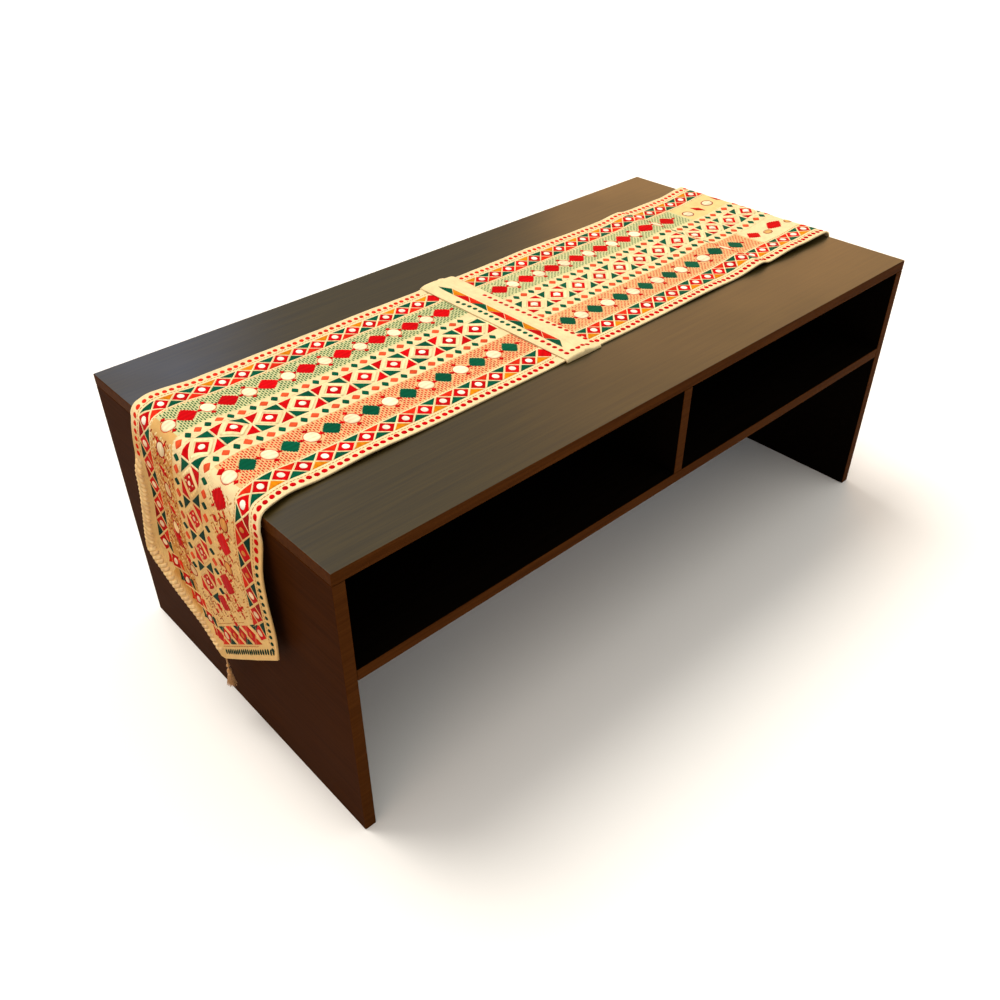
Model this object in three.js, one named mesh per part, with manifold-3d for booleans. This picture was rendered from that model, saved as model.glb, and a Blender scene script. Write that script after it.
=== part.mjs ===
// A low coffee table with a long embroidered table runner laid over it from end to end.
// Millimetres. X runs along the table, Y across it and Z up. The origin is on the floor
// under the middle of the table, and the table's open side faces -Y. The near end is at -X.

import * as THREE from 'three';
import * as BufferGeometryUtils from 'three/addons/utils/BufferGeometryUtils.js';
import Module from 'manifold-3d';

const wasm = await Module();
wasm.setup();

// Table
const TABLE_LENGTH = 1200;
const TABLE_WIDTH = 600;
const TABLE_HEIGHT = 465;
const BOARD = 18;
const SHELF_TOP = 302;
const DIVIDER_X = 17;
const BACK_BOARD = 12;
const BACK_INSET = 6;
const JOINT_GAP = 0.3;

// Runner cloth
const RUNNER_LENGTH = 1780;
const RUNNER_WIDTH = 330;
const POINT_DEPTH = 121;
const CLOTH_THICK = 2;
const HEM_THICK = 2.8;
const HEM_WIDTH = 6;
const MIDDLE_X = -54;
const MIDDLE_Y = 15.5;

// How the cloth turns over the table's ends: an arc about a line just inside each top edge
const BEND_INSET = 8.5;
const BEND_DROP = 7.5;
const BEND_INNER = 13.6;
const SWELL_BEFORE_BEND = 72;

// The near end is drawn towards the table's open side from this run on, and leans as it falls
const SKEW_START = 490;
const SKEW_SPAN = 75;
const SKEW = 16.5;
const LEAN = 7.5;
const LEAN_DEPTH = 150;

// How far the hanging ends stand off the table as they fall
const STAND_OFF = 13;
const STAND_OFF_DEPTH = 40;
const FULL_FALL = 230;
const NEAR_FLARE = 2.2;
const FAR_FLARE = 12.32;
const FLARE_POWER = 1.6;

// Swells of the near hanging end: place across and down it, how far out, and spreads
const HANG_SWELLS = [
  { across: -60, down: 90, out: 1.5, acrossSpread: 80, downSpread: 80 },
  { across: 120, down: 95, out: -4.5, acrossSpread: 50, downSpread: 75 },
  { across: -165, down: 30, out: -4.4, acrossSpread: 30, downSpread: 28 },
  { across: -165, down: 175, out: -3.3, acrossSpread: 60, downSpread: 45 },
];
const HANG_SWELL_START = 24;

// Its back corner curls outwards, most at the edge
const CORNER_CURL = 11;
const CURL_WIDTH = 60;
const CURL_DEPTH = 80;
const CURL_DEPTH_SPAN = 150;
const CURL_ACROSS = 36;
const CURL_ACROSS_SPAN = 124;

// The whipped hem, rolled into a soft cord on the back side of the near hanging end
const ROLL_START = 50;
const ROLL_FADE = 34;
const ROLL_WIDTH = 19;
const ROLL_HIGH = 9;
const ROLL_EDGE_SHARE = 0.12;
const ROLL_TIP_SHARE = 0.5;
const ROLL_TAPER = 110;

// Soft swells of the cloth on the table top: place along and across, height, and spreads
const SWELLS = [
  { along: -532, across: 0, high: 6, nearSpread: 20, farSpread: 20, acrossSpread: 32 },
  { along: -535, across: 0, high: 2, nearSpread: 22, farSpread: 22, acrossSpread: 400 },
  { along: -578, across: 150, high: 2.6, nearSpread: 16, farSpread: 22, acrossSpread: 80 },
  { along: -430, across: -165, high: 3.6, nearSpread: 60, farSpread: 75, acrossSpread: 26 },
  { along: -54, across: 0, high: 3.2, nearSpread: 28, farSpread: 20, acrossSpread: 700 },
  { along: -200, across: 165, high: 1.2, nearSpread: 130, farSpread: 90, acrossSpread: 26 },
  { along: 165, across: 165, high: 2.2, nearSpread: 70, farSpread: 80, acrossSpread: 26 },
  { along: 250, across: -165, high: 2.2, nearSpread: 90, farSpread: 60, acrossSpread: 30 },
  { along: 400, across: -120, high: 7, nearSpread: 46, farSpread: 14, acrossSpread: 190 },
  { along: 402, across: 120, high: 3.6, nearSpread: 34, farSpread: 14, acrossSpread: 130 },
  { along: 500, across: -165, high: 7, nearSpread: 70, farSpread: 75, acrossSpread: 48 },
];

// Cross band, wrapped a little over both long edges of the cloth
const BAND_NEAR_X = -80;
const BAND_WIDTH = 72;
const BAND_THICK = 1.8;
const BAND_EDGE_THICK = 0.9;
const BAND_EDGE_SLOPE = 4;
const BAND_OVERHANG = 4.5;
const BAND_LIFT = 0.4;
const WRAP_GAP = 0.4;

// Its turned edge, measured from the band's near edge, and the lump at its back end
const TURNED_FROM = 35;
const TURNED_RISE = 4;
const TURNED_CREST = 45;
const TURNED_TO = 58;
const TURNED_HIGH_BACK = 2.8;
const TURNED_HIGH_FRONT = 2.2;
const LUMP_HIGH = 3;
const LUMP_ACROSS = 154;
const LUMP_SPREAD = 13;
const LUMP_SLOPE = 9;

// Tassel
const TIE_RADIUS = 1.1;
const TIE_LENGTH = 12;
const KNOT_RADIUS = 2.9;
const HEAD_RADIUS = 3.6;
const HEAD_TOP = 22;
const HEAD_END = 34;
const HEAD_SIDES = 10;
const STRAND_RADIUS = 0.6;
const STRAND_STEPS = 4;
const STRAND_UNEVEN = 0.065;
const RING_TWIST = 0.31;
const STRAND_RINGS = [
  { count: 13, rootRadius: 2.5, endRadius: 8.2 },
  { count: 8, rootRadius: 1.3, endRadius: 4.6 },
  { count: 3, rootRadius: 0.4, endRadius: 1.7 },
];
// A strand's route: share of the way out, and depth below the head's end
const STRAND_ROUTE = [
  { outwards: 0, down: -3 },
  { outwards: 0.3, down: 7 },
  { outwards: 0.78, down: 20 },
  { outwards: 1, down: 31.9 },
];

// Finishes
const FINISHES = {
  top: { color: 0x4a3f30, roughness: 0.42 },
  board: { color: 0x3b1e0c, roughness: 0.5 },
  inside: { color: 0x1d130c, roughness: 0.6 },
  cloth: { color: 0xf0cf98, roughness: 0.92 },
  tassel: { color: 0xc9985c, roughness: 0.95 },
};

const HALF_LENGTH = RUNNER_LENGTH / 2;
const HALF_WIDTH = RUNNER_WIDTH / 2;
const HALF_TABLE = TABLE_LENGTH / 2;
const CORNER_RUN = HALF_LENGTH - POINT_DEPTH;
const NEAR_BEND_RUN = HALF_TABLE - BEND_INSET + MIDDLE_X;
const FAR_BEND_RUN = HALF_TABLE - BEND_INSET - MIDDLE_X;
const BEND_MIDDLE = BEND_INNER + CLOTH_THICK / 2;
const BEND_LENGTH = BEND_MIDDLE * Math.PI / 2;
const REST_LIFT = BEND_INNER - BEND_DROP - JOINT_GAP;
const POINT_SINE = HALF_WIDTH / Math.hypot(HALF_WIDTH, POINT_DEPTH);

const model = new THREE.Group();

function smooth(value) {
  const t = Math.min(Math.max(value, 0), 1);
  return t * t * (3 - 2 * t);
}

// Places on a line from a start, through segments of even steps
function stations(start, segments) {
  const places = [start];
  for (const { to, count } of segments) {
    const from = places.at(-1);
    for (let step = 1; step <= count; step += 1) places.push(from + (to - from) * step / count);
  }
  return places;
}

function addMesh(name, geometry, finish, x = 0, y = 0, z = 0) {
  const material = new THREE.MeshStandardMaterial({ ...FINISHES[finish], metalness: 0 });
  const mesh = new THREE.Mesh(geometry, material);
  mesh.name = name;
  mesh.position.set(x, y, z);
  model.add(mesh);
}

// A board from its lowest to its highest corner
function addBoard(name, finish, low, high) {
  const size = high.map((value, axis) => value - low[axis]);
  const centre = high.map((value, axis) => (value + low[axis]) / 2);
  addMesh(name, new THREE.BoxGeometry(...size), finish, ...centre);
}

function addTable() {
  const halfWidth = TABLE_WIDTH / 2;
  const underTop = TABLE_HEIGHT - BOARD - JOINT_GAP;
  const inner = HALF_TABLE - BOARD - JOINT_GAP;
  const backFace = halfWidth - BACK_INSET;
  const backFront = backFace - BACK_BOARD;
  const aboveShelf = SHELF_TOP + JOINT_GAP;
  const dividerLow = DIVIDER_X - BOARD / 2;
  const dividerHigh = DIVIDER_X + BOARD / 2;

  addBoard('table_top', 'top',
    [-HALF_TABLE, -halfWidth, TABLE_HEIGHT - BOARD], [HALF_TABLE, halfWidth, TABLE_HEIGHT]);
  addBoard('table_end_near', 'board',
    [-HALF_TABLE, -halfWidth, 0], [-HALF_TABLE + BOARD, halfWidth, underTop]);
  addBoard('table_end_far', 'board',
    [HALF_TABLE - BOARD, -halfWidth, 0], [HALF_TABLE, halfWidth, underTop]);
  addBoard('table_shelf', 'board',
    [-inner, -halfWidth, SHELF_TOP - BOARD], [inner, halfWidth, SHELF_TOP]);
  addBoard('table_divider', 'board',
    [dividerLow, -halfWidth, aboveShelf], [dividerHigh, backFront - JOINT_GAP, underTop]);
  addBoard('table_back', 'inside',
    [-inner, backFront, aboveShelf], [inner, backFace, underTop]);
}

// Height of the cloth's underside above the table top, at x along and v across the cloth
function clothLift(x, v) {
  const fromBend = HALF_TABLE - BEND_INSET - Math.abs(x);
  let lift = JOINT_GAP + REST_LIFT * smooth(1 - fromBend / SWELL_BEFORE_BEND);
  for (const swell of SWELLS) {
    const spread = x < swell.along ? swell.nearSpread : swell.farSpread;
    const alongPart = (x - swell.along) / spread;
    const acrossPart = (v - swell.across) / swell.acrossSpread;
    lift += swell.high * Math.exp(-alongPart * alongPart - acrossPart * acrossPart);
  }
  return lift;
}

// How far the cloth reaches from its middle, at v across it
function edgeRun(v) {
  return HALF_LENGTH - POINT_DEPTH * Math.abs(v) / HALF_WIDTH;
}

// Distance over the cloth from its nearest edge
function fromEdge(run, v) {
  const fromSide = HALF_WIDTH - Math.abs(v);
  const fromPoint = (edgeRun(v) - run) * POINT_SINE;
  return Math.max(0, Math.min(fromSide, fromPoint));
}

// How far the hanging cloth stands off, at a depth below the bend
function standOff(isNear, depth, v) {
  const flare = isNear ? NEAR_FLARE : FAR_FLARE;
  const plain = STAND_OFF * (1 - Math.exp(-depth / STAND_OFF_DEPTH))
    + flare * (depth / FULL_FALL) ** FLARE_POWER;
  if (!isNear) return plain;
  let swells = 0;
  for (const swell of HANG_SWELLS) {
    const acrossPart = (v - swell.across) / swell.acrossSpread;
    const downPart = (depth - swell.down) / swell.downSpread;
    swells += swell.out * Math.exp(-acrossPart * acrossPart - downPart * downPart);
  }
  const inward = fromEdge(depth + NEAR_BEND_RUN + BEND_LENGTH, v) / CURL_WIDTH;
  const curl = CORNER_CURL * Math.max(0, 1 - inward) ** 2
    * smooth((depth - CURL_DEPTH) / CURL_DEPTH_SPAN)
    * smooth((v - CURL_ACROSS) / CURL_ACROSS_SPAN);
  return plain + swells * smooth(depth / HANG_SWELL_START) + curl;
}

function clothThickness(isNear, run, v, depth) {
  const inward = fromEdge(run, v);
  const hemmed = CLOTH_THICK + (HEM_THICK - CLOTH_THICK) * smooth(2 - 2 * inward / HEM_WIDTH);
  const isRolled = isNear && v > 0 && inward < ROLL_WIDTH;
  if (!isRolled) return hemmed;
  const started = smooth((depth - ROLL_START) / ROLL_FADE);
  const taper = ROLL_TIP_SHARE + (1 - ROLL_TIP_SHARE) * smooth(v / ROLL_TAPER);
  const acrossRoll = ROLL_EDGE_SHARE + (1 - ROLL_EDGE_SHARE) * inward / ROLL_WIDTH;
  return hemmed + ROLL_HIGH * taper * started * Math.sqrt(Math.sin(Math.PI * acrossRoll));
}

// A point of the draped cloth, at s along it from the middle and v across it.
// share is 0 on its underside and 1 on its face.
function clothPoint(s, v, share) {
  const isNear = s < 0;
  const side = isNear ? -1 : 1;
  const run = Math.abs(s);
  const bendRun = isNear ? NEAR_BEND_RUN : FAR_BEND_RUN;
  const depth = Math.max(0, run - bendRun - BEND_LENGTH);
  const drawn = SKEW * smooth((run - SKEW_START) / SKEW_SPAN) + LEAN * smooth(depth / LEAN_DEPTH);
  const y = MIDDLE_Y + v - (isNear ? drawn : 0);
  const thick = share * clothThickness(isNear, run, v, depth);
  if (run <= bendRun) {
    const x = MIDDLE_X + s;
    return new THREE.Vector3(x, y, TABLE_HEIGHT + clothLift(x, v) + thick);
  }
  const centreX = HALF_TABLE - BEND_INSET;
  const centreZ = TABLE_HEIGHT - BEND_DROP;
  const extra = clothLift(side * centreX, v) - JOINT_GAP - REST_LIFT;
  const turn = Math.min((run - bendRun) / BEND_MIDDLE, Math.PI / 2);
  const radius = BEND_INNER + extra * (1 - turn / (Math.PI / 2)) + thick;
  const out = centreX + radius * Math.sin(turn) + standOff(isNear, depth, v);
  return new THREE.Vector3(side * out, y, centreZ + radius * Math.cos(turn) - depth);
}

// A closed sheet between two grids of points, face and underside, rows running along +X
// and columns along +Y. Points that coincide are welded, and flat triangles dropped.
function closedSheet(rowCount, columnCount, facePoint, underPoint) {
  const points = [];
  for (const pointAt of [facePoint, underPoint]) {
    for (let row = 0; row < rowCount; row += 1) {
      for (let column = 0; column < columnCount; column += 1) {
        points.push(...pointAt(row, column).toArray());
      }
    }
  }
  const face = (row, column) => row * columnCount + column;
  const under = (row, column) => rowCount * columnCount + face(row, column);
  const index = [];
  const quad = (a, b, c, d) => index.push(a, b, c, a, c, d);
  const lastRow = rowCount - 1;
  const lastColumn = columnCount - 1;
  for (let row = 0; row < lastRow; row += 1) {
    for (let column = 0; column < lastColumn; column += 1) {
      quad(face(row, column), face(row + 1, column),
        face(row + 1, column + 1), face(row, column + 1));
      quad(under(row, column), under(row, column + 1),
        under(row + 1, column + 1), under(row + 1, column));
    }
    quad(face(row, 0), under(row, 0), under(row + 1, 0), face(row + 1, 0));
    quad(face(row + 1, lastColumn), under(row + 1, lastColumn),
      under(row, lastColumn), face(row, lastColumn));
  }
  for (let column = 0; column < lastColumn; column += 1) {
    quad(face(0, column + 1), under(0, column + 1), under(0, column), face(0, column));
    quad(face(lastRow, column), under(lastRow, column),
      under(lastRow, column + 1), face(lastRow, column + 1));
  }
  const geometry = new THREE.BufferGeometry();
  geometry.setAttribute('position', new THREE.Float32BufferAttribute(points, 3));
  geometry.setIndex(index);
  const welded = BufferGeometryUtils.mergeVertices(geometry, 1e-3);
  const source = welded.index.array;
  const kept = [];
  for (let i = 0; i < source.length; i += 3) {
    const [a, b, c] = [source[i], source[i + 1], source[i + 2]];
    if (a !== b && b !== c && c !== a) kept.push(a, b, c);
  }
  welded.setIndex(kept);
  welded.computeVertexNormals();
  return welded;
}

// Where the cloth's rows cross its length: runs from the middle, then shares of the point
function clothRows() {
  const nearFall = NEAR_BEND_RUN + BEND_LENGTH;
  const farFall = FAR_BEND_RUN + BEND_LENGTH;
  const nearRuns = stations(0, [
    { to: 66, count: 5 },
    { to: NEAR_BEND_RUN - 108, count: 10 },
    { to: NEAR_BEND_RUN, count: 11 },
    { to: nearFall, count: 5 },
    { to: nearFall + ROLL_START + ROLL_FADE, count: 7 },
    { to: CORNER_RUN, count: 8 },
  ]);
  const farRuns = stations(0, [
    { to: 44, count: 4 },
    { to: 390, count: 9 },
    { to: 490, count: 10 },
    { to: FAR_BEND_RUN, count: 9 },
    { to: farFall, count: 5 },
    { to: CORNER_RUN, count: 5 },
  ]);
  const pointRows = 8;
  const shares = Array.from({ length: pointRows }, (_, i) => 1 - (i / pointRows) ** 1.5);
  return [
    ...shares.map((share) => ({ side: -1, run: CORNER_RUN, share })),
    ...nearRuns.toReversed().map((run) => ({ side: -1, run, share: 0 })),
    ...farRuns.slice(1).map((run) => ({ side: 1, run, share: 0 })),
    ...shares.toReversed().map((share) => ({ side: 1, run: CORNER_RUN, share })),
  ];
}

function addRunnerCloth() {
  const rows = clothRows();
  const columns = stations(-HALF_WIDTH, [
    { to: -HALF_WIDTH + HEM_WIDTH + 1, count: 2 },
    { to: -HALF_WIDTH + ROLL_WIDTH, count: 1 },
    { to: HALF_WIDTH - ROLL_WIDTH, count: 10 },
    { to: HALF_WIDTH - HEM_WIDTH, count: 3 },
    { to: HALF_WIDTH, count: 2 },
  ]);
  const at = (row, column, share) => {
    const { side, run, share: pointShare } = rows[row];
    const v = columns[column];
    const reach = run + pointShare * (edgeRun(v) - CORNER_RUN);
    return clothPoint(side * reach, v, share);
  };
  addMesh('runner_cloth', closedSheet(rows.length, columns.length,
    (row, column) => at(row, column, 1), (row, column) => at(row, column, 0)), 'cloth');
}

// Height of the cross band above its own underside, at u across the band and v along it
function bandThickness(u, v) {
  const fromSide = Math.min(u, BAND_WIDTH - u);
  const slope = smooth(fromSide / BAND_EDGE_SLOPE);
  const body = BAND_EDGE_THICK + (BAND_THICK - BAND_EDGE_THICK) * slope;
  const backShare = smooth((v + HALF_WIDTH) / RUNNER_WIDTH);
  const turnedHigh = TURNED_HIGH_FRONT + (TURNED_HIGH_BACK - TURNED_HIGH_FRONT) * backShare;
  const rise = smooth((u - TURNED_FROM) / TURNED_RISE);
  const fall = smooth((TURNED_TO - u) / (TURNED_TO - TURNED_CREST));
  const fromLump = (v - LUMP_ACROSS) / LUMP_SPREAD;
  const lump = LUMP_HIGH * Math.exp(-fromLump * fromLump) * smooth(fromSide / LUMP_SLOPE);
  return body + Math.max(turnedHigh * rise * fall, lump);
}

function addCrossBand() {
  const outer = HALF_WIDTH + BAND_OVERHANG;
  const wrap = HALF_WIDTH + WRAP_GAP;
  const across = stations(0, [
    { to: LUMP_SLOPE, count: 2 },
    { to: TURNED_FROM, count: 3 },
    { to: TURNED_FROM + TURNED_RISE, count: 2 },
    { to: TURNED_TO, count: 5 },
    { to: BAND_WIDTH, count: 3 },
  ]);
  const along = stations(-outer, [
    { to: -wrap - WRAP_GAP, count: 3 },
    { to: -wrap, count: 1 },
    { to: -HALF_WIDTH + 20, count: 2 },
    { to: LUMP_ACROSS - 3 * LUMP_SPREAD, count: 7 },
    { to: wrap, count: 7 },
    { to: wrap + WRAP_GAP, count: 1 },
    { to: outer, count: 3 },
  ]);
  const underLift = (u, v) => {
    if (Math.abs(v) > wrap) return 2 * JOINT_GAP;
    return clothLift(BAND_NEAR_X + u, v) + HEM_THICK + BAND_LIFT;
  };
  const faceLift = (u, v) => {
    const inside = Math.sign(v) * Math.min(Math.abs(v), wrap);
    const high = underLift(u, inside) + bandThickness(u, v);
    const low = 2 * JOINT_GAP + BAND_EDGE_THICK;
    const over = Math.max(0, Math.abs(v) - wrap) / (outer - wrap);
    return low + (high - low) * Math.sqrt(Math.max(0, 1 - over * over));
  };
  const point = (lift) => (row, column) => new THREE.Vector3(
    BAND_NEAR_X + across[row], MIDDLE_Y + along[column],
    TABLE_HEIGHT + lift(across[row], along[column]));
  addMesh('cross_band', closedSheet(across.length, along.length,
    point(faceLift), point(underLift)), 'cloth');
}

function toSolid(geometry) {
  const bare = geometry.index ? geometry.clone() : geometry;
  bare.deleteAttribute('normal');
  bare.deleteAttribute('uv');
  const welded = BufferGeometryUtils.mergeVertices(bare, 1e-4);
  return new wasm.Manifold(new wasm.Mesh({
    numProp: 3,
    vertProperties: Float32Array.from(welded.attributes.position.array),
    triVerts: Uint32Array.from(welded.index.array),
  }));
}

function toGeometry(solid) {
  const mesh = solid.getMesh();
  const geometry = new THREE.BufferGeometry();
  const positions = new THREE.BufferAttribute(mesh.vertProperties, mesh.numProp);
  geometry.setAttribute('position', positions);
  geometry.setIndex(new THREE.BufferAttribute(mesh.triVerts, 1));
  geometry.computeVertexNormals();
  return geometry;
}

// One strand of the skirt, from inside the head down to its end, bowed a little outwards
function strandGeometry(ring, index, turn) {
  const angle = 2 * Math.PI * (index + turn) / ring.count;
  const longer = 1 + STRAND_UNEVEN * Math.sin(index * 2.4 + ring.count);
  const route = STRAND_ROUTE.map(({ outwards, down }) => {
    const radius = ring.rootRadius + outwards * (ring.endRadius - ring.rootRadius);
    return new THREE.Vector3(
      radius * Math.cos(angle), radius * Math.sin(angle), -HEAD_END - longer * down);
  });
  const corners = [0, 1, 2].map((corner) => new THREE.Vector2(
    STRAND_RADIUS * Math.cos(corner * 2 * Math.PI / 3),
    STRAND_RADIUS * Math.sin(corner * 2 * Math.PI / 3)));
  return new THREE.ExtrudeGeometry(new THREE.Shape(corners), {
    steps: STRAND_STEPS,
    extrudePath: new THREE.CatmullRomCurve3(route),
  });
}

// A tassel under its tie, with the tie's upper end at the origin
function tasselGeometry() {
  const knotMiddle = TIE_LENGTH + KNOT_RADIUS;
  const profile = [
    { radius: 0, down: 0 },
    { radius: TIE_RADIUS, down: 0 },
    { radius: TIE_RADIUS, down: TIE_LENGTH },
    { radius: KNOT_RADIUS * 0.8, down: knotMiddle - KNOT_RADIUS * 0.6 },
    { radius: KNOT_RADIUS, down: knotMiddle },
    { radius: KNOT_RADIUS * 0.8, down: knotMiddle + KNOT_RADIUS * 0.6 },
    { radius: TIE_RADIUS, down: HEAD_TOP },
    { radius: HEAD_RADIUS * 0.75, down: HEAD_TOP + 2 },
    { radius: HEAD_RADIUS, down: HEAD_TOP + 6 },
    { radius: HEAD_RADIUS * 0.86, down: HEAD_END - 2 },
    { radius: HEAD_RADIUS * 0.9, down: HEAD_END },
    { radius: 0, down: HEAD_END },
  ];
  const outline = profile.map(({ radius, down }) => new THREE.Vector2(radius, -down));
  const head = new THREE.LatheGeometry(outline.toReversed(), HEAD_SIDES);
  let solid = toSolid(head.rotateX(Math.PI / 2));
  STRAND_RINGS.forEach((ring, ringIndex) => {
    for (let index = 0; index < ring.count; index += 1) {
      solid = solid.add(toSolid(strandGeometry(ring, index, RING_TWIST * ringIndex)));
    }
  });
  return toGeometry(solid);
}

function addTassel(name, side) {
  const tip = clothPoint(side * HALF_LENGTH, 0, 0.5);
  addMesh(name, tasselGeometry(), 'tassel', tip.x, tip.y, tip.z - JOINT_GAP);
}

addTable();
addRunnerCloth();
addCrossBand();
addTassel('tassel_near', -1);
addTassel('tassel_far', 1);

export default model;
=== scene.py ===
"""A long embroidered table runner with pointed ends and tassels, laid over a low coffee table.

Lengths are in millimetres where a name or a chart gives them, and in metres in every mesh.
X runs along the table, Y across it and Z up; the near end, nearest the camera, is at -X.
"""

import logging
import math
from collections import defaultdict
from collections.abc import Sequence
from dataclasses import dataclass, field
from enum import Enum
from functools import partial
from typing import NamedTuple

import bmesh
import bpy
import numpy as np
from bpy.types import Material, Mesh, Node, NodeSocket, NodeTree, Object
from mathutils import Matrix, Vector


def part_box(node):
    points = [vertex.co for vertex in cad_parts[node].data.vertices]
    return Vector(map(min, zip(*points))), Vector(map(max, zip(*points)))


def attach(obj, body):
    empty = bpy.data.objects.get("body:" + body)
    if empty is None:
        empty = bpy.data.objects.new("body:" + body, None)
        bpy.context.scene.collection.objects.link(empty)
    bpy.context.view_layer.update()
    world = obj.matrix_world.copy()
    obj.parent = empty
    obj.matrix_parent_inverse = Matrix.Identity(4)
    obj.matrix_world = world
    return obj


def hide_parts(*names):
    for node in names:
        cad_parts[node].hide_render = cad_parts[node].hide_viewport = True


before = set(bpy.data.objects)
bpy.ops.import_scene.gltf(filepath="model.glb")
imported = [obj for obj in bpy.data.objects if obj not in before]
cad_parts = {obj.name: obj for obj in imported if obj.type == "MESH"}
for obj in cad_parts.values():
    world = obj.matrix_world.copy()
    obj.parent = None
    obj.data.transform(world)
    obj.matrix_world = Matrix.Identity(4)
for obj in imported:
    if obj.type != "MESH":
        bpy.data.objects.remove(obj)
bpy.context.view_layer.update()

LOG = logging.getLogger("table_runner")
MM = 0.001
FULL_TURN = 2 * math.pi
GOLDEN_ANGLE = math.pi * (3 - math.sqrt(5))
CLOTH_MAP = "cloth_uv"
# Heights in metres over which the painted shade of the hanging ends comes in, from none to full.
PAINTED_SHADE_FROM, PAINTED_SHADE_FULLY = 0.462, 0.425
Rgba = tuple[float, float, float, float]
Spot3 = tuple[float, float, float]
Inputs = dict[str | int, object]


def linear(colour: str, scale: float = 1.0) -> Rgba:
    """Turns an sRGB hex colour into the linear colour that a shader takes.

    Args:
        colour: the colour as six hex digits.
        scale: what its light is multiplied by.

    Returns:
        The linear red, green and blue, and an alpha of one.
    """
    parts = [int(colour[i : i + 2], 16) / 255 for i in (0, 2, 4)]
    curved = [p / 12.92 if p <= 0.04045 else ((p + 0.055) / 1.055) ** 2.4 for p in parts]
    return (*(min(1.0, c * scale) for c in curved), 1.0)


def smooth(value: np.ndarray | float) -> np.ndarray | float:
    """Eases a share from 0 to 1 with level ends, and holds it outside that range."""
    share = np.clip(value, 0, 1)
    return share * share * (3 - 2 * share)


def feed(node: Node, inputs: Inputs) -> None:
    """Links each input of a node to the socket given for it, or sets it to the value given."""
    for key, value in inputs.items():
        if isinstance(value, NodeSocket):
            node.id_data.links.new(value, node.inputs[key])
        else:
            node.inputs[key].default_value = value


def add_node(tree: NodeTree, kind: str, inputs: Inputs | None = None,
             out: str | None = None, **settings: object) -> NodeSocket | None:
    """Adds one node to a tree with its settings, and links or sets its inputs.

    Args:
        tree: the tree that the node joins.
        kind: the node's type name.
        inputs: input names or numbers, and the socket linked or the value set there.
        out: the output handed back, or None for the first one in use.
        settings: property names of the node and their values.

    Returns:
        The output, or None if the node has none.
    """
    node = tree.nodes.new(kind)
    for name, value in settings.items():
        setattr(node, name, value)
    feed(node, inputs or {})
    if out is not None:
        return node.outputs[out]
    return next((socket for socket in node.outputs if socket.enabled), None)


def painted_hanging_shade(tree: NodeTree, colour: NodeSocket, tone: Rgba = (0.78, 0.62, 0.42, 1.0)) -> NodeSocket:
    """Deepens and warms a colour on the hanging ends: painted shade for the dimmer, warmer light
    that falls on them below the table top.

    Args:
        tree: the material's tree.
        colour: the colour as it is on the table top.
        tone: what the colour is multiplied by where the painted shade is deepest.

    Returns:
        The colour with its painted shade.
    """
    place = add_node(tree, "ShaderNodeTexCoord", out="Object")
    height = add_node(tree, "ShaderNodeSeparateXYZ", {0: place}, "Z")
    share = add_node(tree, "ShaderNodeMapRange", {
        "Value": height, "From Min": PAINTED_SHADE_FROM, "From Max": PAINTED_SHADE_FULLY,
    }, interpolation_type="SMOOTHSTEP")
    return add_node(tree, "ShaderNodeMix", {0: share, 6: colour, 7: tone},
                    data_type="RGBA", blend_type="MULTIPLY")


class Colour(Enum):
    """The colours of the runner's cloth, threads and yarn, as sRGB hex."""

    CREAM = "fde6b0"
    WHITE = "fff6e2"
    PALE = "fbecc4"
    OCHRE = "e3b36c"
    STRAW = "f4d993"
    SAGE = "dcdaa0"
    SALMON = "f1c286"
    HEM = "fce3b0"
    HEM_THREAD = "ffedc6"
    TAN = "c98a4a"
    YARN = "d39a58"
    RED = "cc040c"
    DEEP_RED = "a00a0c"
    VERMILION = "e02c12"
    CORAL = "e2552e"
    GREEN = "01543a"
    LEAF = "2f6b38"
    ORANGE = "e2860c"

    def paint(self, scale: float = 1.0) -> Rgba:
        """The linear colour, its light multiplied by a scale."""
        return linear(self.value, scale)


class Finish:
    """What every finish shares: one material, made once under its name."""

    name: str

    def look(self, tree: NodeTree) -> Inputs:
        """Adds the nodes of the look, and gives what goes into each input of the shader."""
        raise NotImplementedError

    def material(self) -> Material:
        """Builds the material, or finds it once it is there."""
        found = bpy.data.materials.get(self.name)
        if found is None:
            found = bpy.data.materials.new(self.name)
            found.use_nodes = True
            feed(found.node_tree.nodes["Principled BSDF"], self.look(found.node_tree))
        return found


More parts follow.
